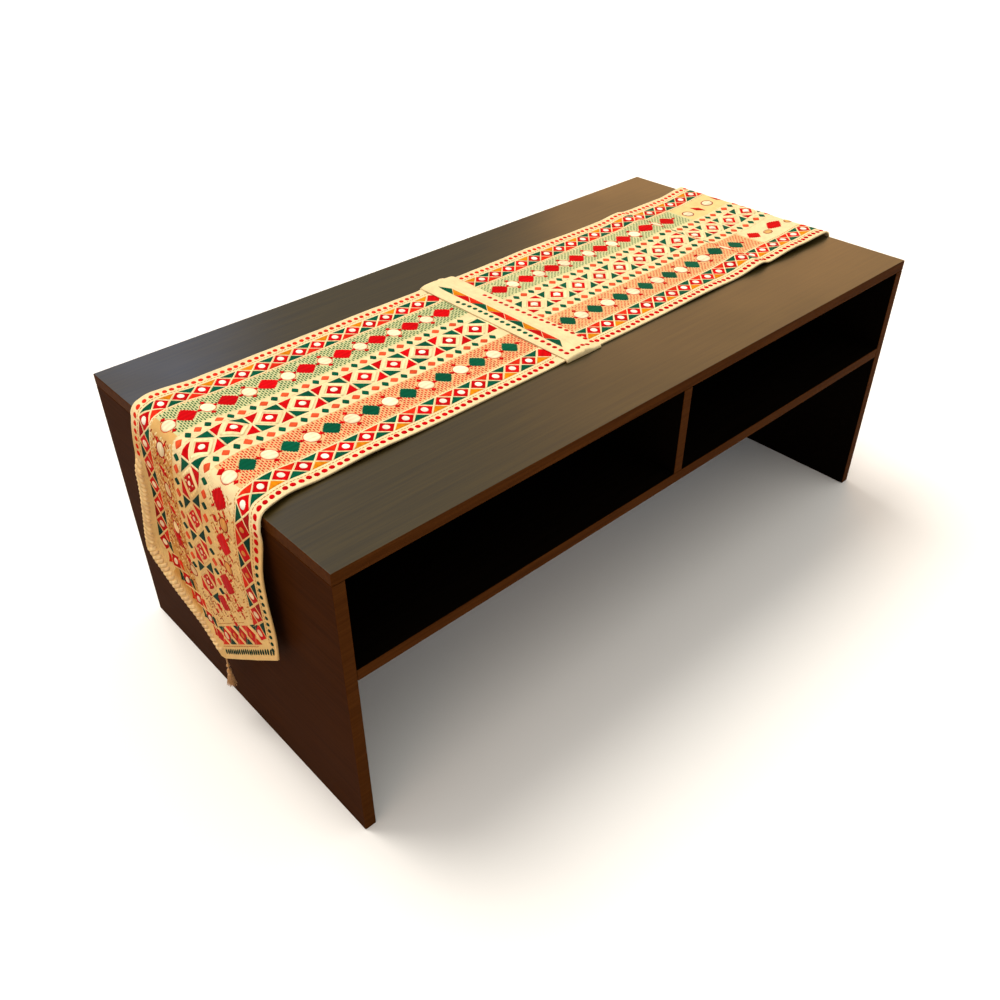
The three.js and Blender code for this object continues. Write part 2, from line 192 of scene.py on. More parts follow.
@dataclass(frozen=True)
class ThreadFinish(Finish):
    """Rayon embroidery thread laid in satin stitch: a low silky shine, threads side by side.

    The real threads are 0.4 mm apart; they are drawn 1.3 mm apart so that they show.
    """

    colour: Colour
    lay_degrees: float = 0.0
    thread_mm: float = 1.3
    roughness: float = 0.55
    uneven: float = 0.2

    @property
    def name(self) -> str:
        """Name of the material, after its colour and the lay of its threads."""
        return f"satin_stitch_{self.colour.name.lower()}_{int(self.lay_degrees)}"

    def look(self, tree: NodeTree) -> Inputs:
        """Draws the threads by the motif's flat place, each motif a little lighter or darker."""
        node = partial(add_node, tree)
        uv = node("ShaderNodeUVMap", uv_map="stitch_uv")
        turned = node("ShaderNodeMapping", {
            "Vector": uv, "Rotation": (0, 0, math.radians(self.lay_degrees))})
        threads = node("ShaderNodeTexWave", {
            "Vector": turned, "Scale": 1 / (20 * self.thread_mm * MM), "Distortion": 1.2,
            "Detail": 1.0, "Detail Scale": 0.8}, "Fac")
        worn = node("ShaderNodeTexNoise", {"Vector": uv, "Scale": 90.0, "Detail": 3.0})
        tint = node("ShaderNodeAttribute", out="Fac", attribute_name="tint")
        deep, pale = (self.colour.paint(1 + share * self.uneven) for share in (-1, 0.5))
        by_motif = node("ShaderNodeMix", {0: tint, 6: deep, 7: pale}, data_type="RGBA")
        shade = node("ShaderNodeMapRange", {
            "Value": worn, "From Min": 0.3, "From Max": 0.7, "To Min": 0.86, "To Max": 1.06})
        # Darker where the thread bump is low: painted shade in the grooves between threads.
        groove_shade = node("ShaderNodeMapRange", {"Value": threads, "To Min": 0.88, "To Max": 1.04})
        both = node("ShaderNodeMath", {0: shade, 1: groove_shade}, operation="MULTIPLY")
        shaded = node("ShaderNodeVectorMath", {0: by_motif, "Scale": both}, operation="SCALE")
        relief = node("ShaderNodeBump", {
            "Height": threads, "Strength": 0.4, "Distance": 0.25 * MM})
        # Painted shade on the hanging ends, deepest on the green thread.
        tone = (0.4, 0.3, 0.35, 1.0) if self.colour is Colour.GREEN else (0.8, 0.6, 0.42, 1.0)
        return {"Base Color": painted_hanging_shade(tree, shaded, tone), "Normal": relief,
                "Roughness": self.roughness, "IOR": 1.08}


@dataclass(frozen=True)
class ClothFinish(Finish):
    """Unbleached cotton in plain weave, backed by dense cream stitching: matt and dry.

    The real yarns are 0.5 mm apart; they are drawn 2.1 mm apart so that the weave shows.
    """

    name: str = "cotton_ground"
    yarn_mm: float = 2.1
    roughness: float = 0.92
    plain_from: float = 540 * MM
    band_inner: float = 47 * MM
    band_outer: float = 108 * MM

    def look(self, tree: NodeTree) -> Inputs:
        """Colours the cloth by its flat place: tinted bands, ochre where bare, a pale hem."""
        node = partial(add_node, tree)
        uv = node("ShaderNodeUVMap", uv_map=CLOTH_MAP)
        axes = node("ShaderNodeSeparateXYZ", {0: uv}).node.outputs
        slubs = node("ShaderNodeTexNoise", {
            "Vector": uv, "Scale": 60.0, "Detail": 5.0, "Roughness": 0.65})
        pitch = FULL_TURN / (self.yarn_mm * MM)
        known: dict[object, object] = {
            "x": axes["X"], "y": axes["Y"], "slubs": slubs,
            "hem": node("ShaderNodeAttribute", out="Fac", attribute_name="hem")}
        for name, operation, first, second in (
            ("x_turn", "MULTIPLY", "x", pitch), ("x_wave", "SINE", "x_turn", 0.0),
            ("y_turn", "MULTIPLY", "y", pitch), ("y_wave", "SINE", "y_turn", 0.0),
            ("weave", "MULTIPLY", "x_wave", "y_wave"), ("height", "ADD", "weave", "slubs"),
            ("across", "ABSOLUTE", "y", 0.0), ("along", "ABSOLUTE", "x", 0.0),
            ("is_bare", "GREATER_THAN", "along", self.plain_from),
            ("over", "GREATER_THAN", "across", self.band_inner),
            ("under", "LESS_THAN", "across", self.band_outer),
            ("at_back", "GREATER_THAN", "y", 0.0), ("at_far", "GREATER_THAN", "x", 0.0),
            ("within", "MULTIPLY", "over", "under"),
            ("in_band", "MULTIPLY", "within", "at_back"),
            ("bare", "MULTIPLY", "in_band", "is_bare"),
            ("filled", "LESS_THAN", "is_bare", "within"),
        ):
            known[name] = node("ShaderNodeMath", {
                0: known[first], 1: known.get(second, second)}, operation=operation)
        for name, share, first, second in (
            ("fill", "at_back", Colour.SALMON, Colour.SAGE),
            ("tinted", "filled", Colour.CREAM, "fill"),
            # The near end's bare back band is ochre and the far end's straw: the band's own tan
            # ground, made deeper on the hanging near end by painted shade.
            ("plain", "at_far", Colour.OCHRE, Colour.STRAW),
            ("ground", "bare", "tinted", "plain"), ("hemmed", "hem", "ground", Colour.HEM),
        ):
            pair = [known[c] if c in known else c.paint() for c in (first, second)]
            known[name] = node("ShaderNodeMix", {0: known[share], 6: pair[0], 7: pair[1]},
                               data_type="RGBA")
        shade = node("ShaderNodeMapRange", {
            "Value": slubs, "From Min": 0.3, "From Max": 0.7, "To Min": 0.88, "To Max": 1.04})
        # Darker where the weave's bump is low: painted shade between the yarns.
        weave_shade = node("ShaderNodeMapRange", {
            "Value": known["weave"], "From Min": -1.0, "From Max": 1.0,
            "To Min": 0.84, "To Max": 1.06})
        both = node("ShaderNodeMath", {0: shade, 1: weave_shade}, operation="MULTIPLY")
        shaded = node("ShaderNodeVectorMath", {0: known["hemmed"], "Scale": both},
                      operation="SCALE")
        relief = node("ShaderNodeBump", {
            "Height": known["height"], "Strength": 0.8, "Distance": 0.4 * MM})
        # The cloth's colour takes the painted shade of the hanging ends.
        return {"Base Color": painted_hanging_shade(tree, shaded), "Normal": relief,
                "Roughness": self.roughness, "Specular IOR Level": 0.1}


@dataclass(frozen=True)
class YarnFinish(Finish):
    """Twisted cotton yarn, tan and dry, drawn lighter where its plies stand proud and darker between
    them: painted highlight and painted shade.
    """

    name: str = "twisted_cotton_yarn"
    twist_mm: float = 1.6
    roughness: float = 0.95

    def look(self, tree: NodeTree) -> Inputs:
        """Winds the plies slanting round the yarn, under a little fuzz."""
        node = partial(add_node, tree)
        place = node("ShaderNodeTexCoord", out="Object")
        plies = node("ShaderNodeTexWave", {
            "Vector": place, "Scale": 0.314 / (self.twist_mm * MM), "Distortion": 2.0,
        }, "Fac", bands_direction="DIAGONAL")
        fuzz = node("ShaderNodeTexNoise", {"Vector": place, "Scale": 350.0, "Detail": 4.0})
        mixed = node("ShaderNodeMath", {0: plies, 1: fuzz}, operation="MULTIPLY")
        # The colour follows the plies that the bump raises: painted highlight on the plies and
        # painted shade between them, over the fuzz's own uneven tone.
        colour = node("ShaderNodeMix", {
            0: mixed, 6: Colour.YARN.paint(0.55), 7: Colour.YARN.paint(1.3)}, data_type="RGBA")
        relief = node("ShaderNodeBump", {"Height": mixed, "Strength": 0.5, "Distance": 0.3 * MM})
        return {"Base Color": colour, "Normal": relief, "Roughness": self.roughness,
                "Sheen Weight": 0.3}


@dataclass(frozen=True)
class LaminateFinish(Finish):
    """Melamine laminate printed with dark wenge: straight fine grain under a satin film."""

    name: str
    dark: str
    light: str
    grain_axis: int
    gloss_ior: float
    grain_mm: float = 5.0
    roughness: float = 0.34

    def look(self, tree: NodeTree) -> Inputs:
        """Draws the grain out along one axis of the table, under a faintly uneven film."""
        node = partial(add_node, tree)
        place = node("ShaderNodeTexCoord", out="Object")
        stretch = [1.0 / (self.grain_mm * MM)] * 3
        stretch[self.grain_axis] = 0.03 / (self.grain_mm * MM)
        drawn = node("ShaderNodeMapping", {"Vector": place, "Scale": tuple(stretch)})
        grain = node("ShaderNodeTexNoise", {
            "Vector": drawn, "Scale": 1.0, "Detail": 6.0, "Roughness": 0.62, "Distortion": 0.4})
        cloudy = node("ShaderNodeTexNoise", {"Vector": place, "Scale": 5.0, "Detail": 2.0})
        tone = node("ShaderNodeMapRange", {"Value": grain, "From Min": 0.32, "From Max": 0.7})
        film = node("ShaderNodeMapRange", {
            "Value": cloudy, "From Min": 0.3, "From Max": 0.7,
            "To Min": self.roughness * 0.9, "To Max": self.roughness * 1.15})
        colour = node("ShaderNodeMix", {0: tone, 6: linear(self.dark), 7: linear(self.light)},
                      data_type="RGBA")
        relief = node("ShaderNodeBump", {"Height": grain, "Strength": 0.12, "Distance": 0.1 * MM})
        return {"Base Color": colour, "Normal": relief, "Roughness": film,
                "IOR": self.gloss_ior}


@dataclass(frozen=True)
class FloorFinish(Finish):
    """Pale matt floor, hardly uneven."""

    name: str = "pale_matt_floor"

    def look(self, tree: NodeTree) -> Inputs:
        """Clouds the floor's colour so faintly that it only takes off the flatness."""
        place = add_node(tree, "ShaderNodeTexCoord", out="Object")
        tone = add_node(tree, "ShaderNodeTexNoise", {
            "Vector": place, "Scale": 2.0, "Detail": 2.0})
        colour = add_node(tree, "ShaderNodeMix", {0: tone, 6: linear("f4f3f1"), 7: linear("f6f5f3")},
                          data_type="RGBA")
        return {"Base Color": colour, "Roughness": 0.9, "Specular IOR Level": 0.1}


class Swell(NamedTuple):
    """A soft swell of the cloth on the table top: its place, height and spreads."""

    along: float
    across: float
    high: float
    near_spread: float
    far_spread: float
    across_spread: float


class HangSwell(NamedTuple):
    """A swell of the near hanging end: its place, how far out it comes, and its spreads."""

    across: float
    down: float
    out: float
    across_spread: float
    down_spread: float


SWELLS = (
    Swell(-532, 0, 6, 20, 20, 32),
    Swell(-535, 0, 2, 22, 22, 400),
    Swell(-578, 150, 2.6, 16, 22, 80),
    Swell(-430, -165, 3.6, 60, 75, 26),
    Swell(-54, 0, 3.2, 28, 20, 700),
    Swell(-200, 165, 1.2, 130, 90, 26),
    Swell(165, 165, 2.2, 70, 80, 26),
    Swell(250, -165, 2.2, 90, 60, 30),
    Swell(400, -120, 7, 46, 14, 190),
    Swell(402, 120, 3.6, 34, 14, 130),
    Swell(500, -165, 7, 70, 75, 48),
)
HANG_SWELLS = (
    HangSwell(-60, 90, 1.5, 80, 80),
    HangSwell(120, 95, -4.5, 50, 75),
    HangSwell(-165, 30, -4.4, 30, 28),
    HangSwell(-165, 175, -3.3, 60, 45),
)


@dataclass(frozen=True)
class Drape:
    """How the runner lies on the table and hangs over its ends, in millimetres.

    A place on the cloth is s, its distance along from the middle, less than 0 towards the near
    end, and v, its distance across, positive towards the table's back. A run is s without sign.
    """

    table_end: float = 600
    table_height: float = 465
    length: float = 1780
    width: float = 330
    point_depth: float = 121
    thick: float = 2
    hem_thick: float = 2.8
    hem_width: float = 6
    middle_x: float = -54
    middle_y: float = 15.5
    joint_gap: float = 0.3
    bend_inset: float = 8.5
    bend_drop: float = 7.5
    bend_inner: float = 13.6
    swell_before_bend: float = 72
    skew_start: float = 490
    skew_span: float = 75
    skew: float = 16.5
    lean: float = 7.5
    lean_depth: float = 150
    stand_off: float = 13
    stand_off_depth: float = 40
    full_fall: float = 230
    near_flare: float = 2.2
    far_flare: float = 12.32
    flare_power: float = 1.6
    hang_swell_start: float = 24
    corner_curl: float = 11
    curl_width: float = 60
    curl_depth: float = 80
    curl_depth_span: float = 150
    curl_across: float = 36
    curl_across_span: float = 124
    roll_start: float = 50
    roll_fade: float = 34
    roll_width: float = 19
    roll_high: float = 9
    roll_edge_share: float = 0.12
    roll_tip_share: float = 0.5
    roll_taper: float = 110
    pucker: float = 0.45

    @property
    def half_length(self) -> float:
        """Half the runner's length, tip to middle."""
        return self.length / 2

    @property
    def half_width(self) -> float:
        """Half the runner's width."""
        return self.width / 2

    @property
    def corner_run(self) -> float:
        """How far from the middle the straight sides end and the point begins."""
        return self.half_length - self.point_depth

    @property
    def bend_middle(self) -> float:
        """Radius of the bend at the cloth's middle layer."""
        return self.bend_inner + self.thick / 2

    @property
    def bend_length(self) -> float:
        """Length of cloth that the bend takes."""
        return self.bend_middle * math.pi / 2

    @property
    def bend_x(self) -> float:
        """How far from the table's middle the bend's own middle lies."""
        return self.table_end - self.bend_inset

    @property
    def near_bend(self) -> float:
        """Distance along the cloth from its middle to the near bend."""
        return self.bend_x + self.middle_x

    @property
    def far_bend(self) -> float:
        """Distance along the cloth from its middle to the far bend."""
        return self.bend_x - self.middle_x

    @property
    def rest_lift(self) -> float:
        """How far the cloth's underside has risen where a bend begins."""
        return self.bend_inner - self.bend_drop - self.joint_gap

    @property
    def slant_length(self) -> float:
        """Length of a slanting edge, from the corner to the tip."""
        return math.hypot(self.half_width, self.point_depth)

    @property
    def point_sine(self) -> float:
        """Sine of the angle between the cloth's length and a slanting edge."""
        return self.half_width / self.slant_length

    def edge_run(self, v: np.ndarray | float) -> np.ndarray | float:
        """How far the cloth reaches from its middle at v across it."""
        return self.half_length - self.point_depth * np.abs(v) / self.half_width

    def from_edge(self, run: np.ndarray, v: np.ndarray) -> np.ndarray:
        """Distance over the cloth from its nearest edge."""
        from_side = self.half_width - np.abs(v)
        from_point = (self.edge_run(v) - run) * self.point_sine
        return np.maximum(0, np.minimum(from_side, from_point))

    def lift(self, x: np.ndarray, v: np.ndarray) -> np.ndarray:
        """Height of the cloth's underside above the table top, at x along the table."""
        from_bend = self.bend_x - np.abs(x)
        high = self.joint_gap + self.rest_lift * smooth(1 - from_bend / self.swell_before_bend)
        for swell in SWELLS:
            spread = np.where(x < swell.along, swell.near_spread, swell.far_spread)
            along_part = (x - swell.along) / spread
            across_part = (v - swell.across) / swell.across_spread
            high = high + swell.high * np.exp(-along_part**2 - across_part**2)
        return high

    def off_end(self, near: np.ndarray, depth: np.ndarray, v: np.ndarray) -> np.ndarray:
        """How far the hanging cloth stands off the table's end, beside the bend's own reach.

        Args:
            near: true on the near end.
            depth: depth below the bend.
            v: place across the cloth.

        Returns:
            The distance.
        """
        flare = np.where(near, self.near_flare, self.far_flare)
        plain = self.stand_off * (1 - np.exp(-depth / self.stand_off_depth))
        plain = plain + flare * (depth / self.full_fall) ** self.flare_power
        swells = 0.0
        for swell in HANG_SWELLS:
            across_part = (v - swell.across) / swell.across_spread
            down_part = (depth - swell.down) / swell.down_spread
            swells = swells + swell.out * np.exp(-across_part**2 - down_part**2)
        run = depth + self.near_bend + self.bend_length
        inward = self.from_edge(run, v) / self.curl_width
        curl = self.corner_curl * np.maximum(0, 1 - inward) ** 2
        curl = curl * smooth((depth - self.curl_depth) / self.curl_depth_span)
        curl = curl * smooth((v - self.curl_across) / self.curl_across_span)
        uneven = swells * smooth(depth / self.hang_swell_start) + curl
        return plain + np.where(near, uneven, 0)

    def puckers(self, s: np.ndarray, v: np.ndarray) -> np.ndarray:
        """Small unevenness of the face where dense stitching draws the cloth in."""
        wide = np.sin(s / 21 + 1.3 * np.sin(v / 31)) * np.sin(v / 17 + 0.8 * np.sin(s / 43))
        fine = np.sin(s / 8.5 + v / 15) * np.sin(v / 9.5 - s / 37)
        return self.pucker * (0.7 * wide + 0.3 * fine)

    def thickness(self, near: np.ndarray, run: np.ndarray, v: np.ndarray, depth: np.ndarray
                  ) -> np.ndarray:
        """Thickness of the cloth, its hem and the soft cord that the near hem is rolled into.

        Args:
            near: true on the near end.
            run: distance along the cloth from its middle.
            v: place across the cloth.
            depth: depth below the bend.

        Returns:
            The thickness.
        """
        inward = self.from_edge(run, v)
        fold = smooth(2 - 2 * inward / self.hem_width)
        hemmed = self.thick + (self.hem_thick - self.thick) * fold
        started = smooth((depth - self.roll_start) / self.roll_fade)
        taper = self.roll_tip_share + (1 - self.roll_tip_share) * smooth(v / self.roll_taper)
        over = np.clip(inward / self.roll_width, 0, 1)
        across_roll = self.roll_edge_share + (1 - self.roll_edge_share) * over
        round_top = np.sqrt(np.clip(np.sin(math.pi * across_roll), 0, 1))
        rolled = near & (v > 0) & (inward < self.roll_width)
        return hemmed + np.where(rolled, self.roll_high * taper * started * round_top, 0)

    def points(self, s: np.ndarray, v: np.ndarray, share: float) -> np.ndarray:
        """Points of the draped cloth, in metres.

        Args:
            s: places along the cloth.
            v: places across it.
            share: 0 for its underside and 1 for its face.

        Returns:
            An array with x, y and z last.
        """
        s, v = np.broadcast_arrays(np.asarray(s, float), np.asarray(v, float))
        near = s < 0
        side = np.where(near, -1, 1)
        run = np.abs(s)
        bend_run = np.where(near, self.near_bend, self.far_bend)
        depth = np.maximum(0, run - bend_run - self.bend_length)
        drawn = self.skew * smooth((run - self.skew_start) / self.skew_span)
        drawn = drawn + self.lean * smooth(depth / self.lean_depth)
        y = self.middle_y + v - np.where(near, drawn, 0)
        thick = share * (self.thickness(near, run, v, depth) + self.puckers(s, v))
        x_top = self.middle_x + s
        top = np.stack([x_top, y, self.table_height + self.lift(x_top, v) + thick], -1)
        extra = self.lift(side * self.bend_x, v) - self.joint_gap - self.rest_lift
        turn = np.clip((run - bend_run) / self.bend_middle, 0, math.pi / 2)
        radius = self.bend_inner + extra * (1 - turn / (math.pi / 2)) + thick
        out = self.bend_x + radius * np.sin(turn) + self.off_end(near, depth, v)
        z = self.table_height - self.bend_drop + radius * np.cos(turn) - depth
        hanging = np.stack([side * out, y, z], -1)
        return np.where((run <= bend_run)[..., None], top, hanging) * MM


def steps(start: float, stop: float, size: float) -> np.ndarray:
    """Even places from start to stop, no further apart than a size, both ends among them."""
    count = max(1, math.ceil(abs(stop - start) / size))
    return np.linspace(start, stop, count + 1)


def joined(*runs: np.ndarray) -> np.ndarray:
    """Places of several runs one after another, each run starting where the last one ends."""
    return np.concatenate([runs[0], *[run[1:] for run in runs[1:]]])


def new_object(name: str, mesh: Mesh) -> Object:
    """Links a mesh into the scene as an object at the origin."""
    made = bpy.data.objects.new(name, mesh)
    bpy.context.scene.collection.objects.link(made)
    return made


def join_as(name: str, parts: Sequence[Object]) -> Object:
    """Joins objects at the origin into one, keeping their materials and attributes."""
    with bpy.context.temp_override(
            active_object=parts[0], object=parts[0], selected_editable_objects=parts):
        bpy.ops.object.join()
    parts[0].name = parts[0].data.name = name
    return parts[0]


def merge(mesh: Mesh) -> None:
    """Merges a mesh's coinciding points, drops what this leaves empty, and smooths the mesh."""
    work = bmesh.new()
    work.from_mesh(mesh)
    bmesh.ops.remove_doubles(work, verts=work.verts, dist=1e-6)
    bmesh.ops.dissolve_degenerate(work, dist=1e-7, edges=work.edges)
    work.to_mesh(mesh)
    work.free()
    mesh.shade_smooth()


def loft(name: str, rings: np.ndarray, is_loop: bool = False, has_caps: bool = False) -> Mesh:
    """Makes a mesh through rings of points, which run to the left seen along their way back.

    Args:
        name: the mesh's name.
        rings: the points in millimetres, by ring and place round it.
        is_loop: whether the last ring is joined to the first one.
        has_caps: whether the first and last rings are closed with a flat face.

    Returns:
        The mesh in metres, with a ring that is all one point merged into a pole.
    """
    total, count = rings.shape[:2]
    index = np.arange(total * count).reshape(total, count)
    following = np.roll(index, -1, 0)
    if not is_loop:
        index, following = index[:-1], following[:-1]
    quads = np.stack([index, np.roll(index, -1, 1), np.roll(following, -1, 1), following], -1)
    faces = quads.reshape(-1, 4).tolist()
    if has_caps:
        faces += [index[0, ::-1].tolist(), following[-1].tolist()]
    mesh = bpy.data.meshes.new(name)
    mesh.from_pydata((rings.reshape(-1, 3) * MM).tolist(), [], faces)
    merge(mesh)
    return mesh


def sheet_mesh(name: str, face: np.ndarray, under: np.ndarray | None, flat: np.ndarray,
               hem: np.ndarray | None = None) -> Mesh:
    """Makes a mesh from grids of points, rows along +X and columns along +Y.

    Args:
        name: the mesh's name.
        face: points of the face, by row and column.
        under: points of the underside, or None for an open sheet with a face alone.
        flat: place of each point on the flat cloth, in metres.
        hem: share of hem colour at each point, or None.

    Returns:
        The mesh, its coinciding points merged.
    """
    rows, columns = face.shape[:2]
    index = np.arange(rows * columns).reshape(rows, columns)
    around = [index[:-1, :-1], index[1:, :-1], index[1:, 1:], index[:-1, 1:]]
    top = np.stack(around, -1).reshape(-1, 4)
    layers, quads = [face], [top]
    if under is not None:
        rim = np.concatenate([index[:-1, 0], index[-1, :-1], index[:0:-1, -1], index[0, :0:-1]])
        low = rim + rows * columns
        layers.append(under)
        quads += [np.roll(top[:, ::-1], 1, 1) + rows * columns,
                  np.stack([rim, low, np.roll(low, -1), np.roll(rim, -1)], -1)]
    points = np.concatenate([layer.reshape(-1, 3) for layer in layers])
    faces = np.concatenate(quads)
    mesh = bpy.data.meshes.new(name)
    mesh.from_pydata(points.tolist(), [], faces.tolist())
    places = np.concatenate([flat.reshape(-1, 2)] * len(layers))[faces.ravel()]
    mesh.uv_layers.new(name=CLOTH_MAP).data.foreach_set("uv", places.astype(np.float32).ravel())
    if hem is not None:
        shares = np.concatenate([hem.ravel()] * len(layers)).astype(np.float32)
        mesh.attributes.new("hem", "FLOAT", "POINT").data.foreach_set("value", shares)
    merge(mesh)
    return mesh


def sheet_pair(name: str, face: np.ndarray, under: np.ndarray, flat: np.ndarray,
               hem: np.ndarray, finish: ClothFinish) -> tuple[Object, Object]:
    """Makes a cloth twice from its grids: closed as it shows, and as a face for its stitches.

    Args:
        name: the closed sheet's name.
        face: points of the face, by row and column.
        under: points of the underside.
        flat: place of each point on the flat cloth, in metres.
        hem: share of hem colour at each point.
        finish: the cloth's finish.

    Returns:
        The closed sheet and the open face.
    """
    sheet = new_object(name, sheet_mesh(name, face, under, flat, hem))
    sheet.data.materials.append(finish.material())
    return sheet, new_object(f"{name}_face", sheet_mesh(f"{name}_face", face, None, flat))


def geometry_tree(name: str, kinds: dict[str, str]) -> tuple[NodeTree, dict[str, NodeSocket]]:
    """Makes a geometry tree with named inputs.

    Args:
        name: the tree's name.
        kinds: the name and kind of each input after the geometry.

    Returns:
        The tree, and the socket that each input comes from.
    """
    tree = bpy.data.node_groups.new(name, "GeometryNodeTree")
    tree.is_modifier = True
    for way in ("INPUT", "OUTPUT"):
        tree.interface.new_socket("Geometry", in_out=way, socket_type="NodeSocketGeometry")
    for label, kind in kinds.items():
        tree.interface.new_socket(label, in_out="INPUT", socket_type=f"NodeSocket{kind}")
    given = add_node(tree, "NodeGroupInput").node.outputs
    return tree, {label: given[label] for label in ("Geometry", *kinds)}


def end_tree(tree: NodeTree, geometry: NodeSocket, material: NodeSocket) -> NodeTree:
    """Ends a tree: its instances are made real and given their material."""
    real = add_node(tree, "GeometryNodeRealizeInstances", {"Geometry": geometry})
    dressed = add_node(tree, "GeometryNodeSetMaterial", {"Geometry": real, "Material": material})
    add_node(tree, "NodeGroupOutput", {"Geometry": dressed})
    return tree


def run_tree(name: str, carrier: Object, tree: NodeTree, values: dict[str, object]) -> Object:
    """Runs a tree on a carrier, which it uses up, and keeps the result as a plain mesh.

    Args:
        name: the new object's name.
        carrier: the object that the tree works on.
        tree: the geometry tree.
        values: the values of its inputs, by name.

    Returns:
        The new object.
    """
    modifier = carrier.modifiers.new("nodes", "NODES")
    modifier.node_group = tree
    for item in tree.interface.items_tree:
        if item.in_out == "INPUT" and item.name in values:
            modifier[item.identifier] = values[item.name]
    graph = bpy.context.evaluated_depsgraph_get()
    mesh = bpy.data.meshes.new_from_object(carrier.evaluated_get(graph), depsgraph=graph)
    mesh.name = name
    mesh.shade_smooth()
    bpy.data.objects.remove(carrier)
    return new_object(name, mesh)


@dataclass
class RunnerCloth:
    """The runner's own cloth, one length with its hem, as a fine closed sheet."""

    drape: Drape
    row_step: float = 5.0
    flap_step: float = 4.0
    bend_lead: float = 10.0
    bend_step: float = 2.4
    column_step: float = 5.0
    hem_columns: int = 12
    point_rows: int = 24
    row_power: float = 1.5
    face: Object | None = None
    sheet: Object | None = None

    @property
    def flat_area(self) -> float:
        """Area of the cloth laid flat, in square metres."""
        return (2 * self.drape.corner_run + self.drape.point_depth) * self.drape.width * MM * MM

    def runs(self, bend: float) -> np.ndarray:
        """Distances from the middle of the rows on one side, over its bend up to the point."""
        fall = bend + self.drape.bend_length
        return joined(
            steps(0, bend - self.bend_lead, self.row_step),
            steps(bend - self.bend_lead, fall, self.bend_step),
            steps(fall, self.drape.corner_run, self.flap_step),
        )

    def grid(self) -> tuple[np.ndarray, np.ndarray]:
        """Places along and across the cloth of every point of its grid."""
        drape = self.drape
        rolled = drape.half_width - drape.roll_width
        edge = np.linspace(drape.half_width, rolled, self.hem_columns + 1)
        across = joined(-edge, steps(-rolled, 0, self.column_step),
                        steps(0, rolled, self.column_step), edge[::-1])
        reach = drape.edge_run(across) - drape.corner_run
        shares = 1 - (np.arange(self.point_rows) / self.point_rows) ** self.row_power
        points = drape.corner_run + shares[:, None] * reach[None, :]
        near = np.repeat(self.runs(drape.near_bend)[::-1, None], len(across), 1)
        far = np.repeat(self.runs(drape.far_bend)[1:, None], len(across), 1)
        along = np.concatenate([-points, -near, far, points[::-1]])
        return along, np.broadcast_to(across, along.shape)

    def build(self) -> None:
        """Makes the closed sheet that shows, and its face alone, which carries the stitches."""
        drape = self.drape
        along, across = self.grid()
        inward = drape.from_edge(np.abs(along), across)
        depth = np.abs(along) - drape.near_bend - drape.bend_length - drape.roll_start
        is_roll = (along < 0) & (across > 0) & (depth > 0)
        hem = smooth((np.where(is_roll, drape.roll_width, drape.hem_width) - inward) / 2)
        self.sheet, self.face = sheet_pair(
            "runner_sheet", drape.points(along, across, 1.0), drape.points(along, across, 0.0),
            np.stack([along, across], -1) * MM, hem, ClothFinish())


def along_sides(corners: Sequence[Sequence[float]], side_points: int) -> np.ndarray:
    """Outline through corners, with points along each side."""
    corners = np.array(corners)
    shares = np.arange(side_points)[None, :, None] / side_points
    sides = np.roll(corners, -1, axis=0) - corners
    return (corners[:, None] + shares * sides[:, None]).reshape(-1, 2)


def diamond(width: float, height: float, side_points: int = 5) -> np.ndarray:
    """Outline of a diamond, its corners on the axes."""
    x, y = width / 2, height / 2
    return along_sides([[x, 0], [0, y], [-x, 0], [0, -y]], side_points)


def triangle(base: float, height: float, side_points: int = 4) -> np.ndarray:
    """Outline of a triangle about its middle, its base towards +Y and its point towards -Y."""
    x, y = base / 2, height / 3
    return along_sides([[0, -2 * y], [x, y], [-x, y]], side_points)


def right_triangle(leg: float, side_points: int) -> np.ndarray:
    """Outline of a right triangle about its middle, its square corner towards +X and +Y."""
    near, far = leg / 3, -leg * 2 / 3
    return along_sides([[near, near], [far, near], [near, far]], side_points)


def rounded(width: float, height: float, count: int, power: float = 2.0) -> np.ndarray:
    """Outline of an oval, or with a power under 2 of a diamond with blunt corners."""
    angles = np.arange(count) / count * FULL_TURN
    way = np.stack([np.cos(angles), np.sin(angles)], -1)
    reach = (np.abs(way) ** power).sum(1, keepdims=True) ** (-1 / power)
    return way * reach * (width / 2, height / 2)


def stepped_diamond(width: float, height: float, teeth: int, deep: float) -> np.ndarray:
    """Outline of a blunt diamond whose sides rise in small stitched steps."""
    plain = rounded(width, height, 8 * teeth, 1.18)
    reach = np.linalg.norm(plain, axis=1, keepdims=True)
    inward = np.where(np.arange(len(plain)) % 2 == 0, 0.0, deep)[:, None]
    return plain * (1 - inward / reach)


def stroke(length: float, width: float) -> np.ndarray:
    """Outline of a single stitch along X, drawn in at its two ends."""
    half, side = length / 2, width / 2
    end = min(half * 0.4, 1.2)
    return np.array([[half, 0], [half - end, side], [end - half, side],
                     [-half, 0], [end - half, -side], [half - end, -side]])


class Relief(Enum):
    """Cross-sections of a motif from underneath, out to the edge and over its top.

    Each row is a share of the way out, from a hollow middle if there is one, and a height in
    millimetres. A rim comes back to where it began.
    """

    SATIN = ((0.55, -0.9), (1.0, -0.9), (1.0, 0.15), (0.93, 0.5), (0.8, 0.62), (0.4, 0.68))
    DOMED = ((0.6, -0.6), (1.0, -0.6), (1.0, 0.1), (0.85, 0.65), (0.5, 1.0))
    BUTTON = ((1.0, -0.4), (1.0, 0.5), (0.86, 1.1), (0.5, 1.35))
    THREAD = ((1.0, -0.35), (1.0, 0.2))
    RIM = ((1.0, -0.9), (1.0, 0.1), (2 / 3, 0.5), (1 / 3, 0.5), (0.0, 0.1), (0.0, -0.9))


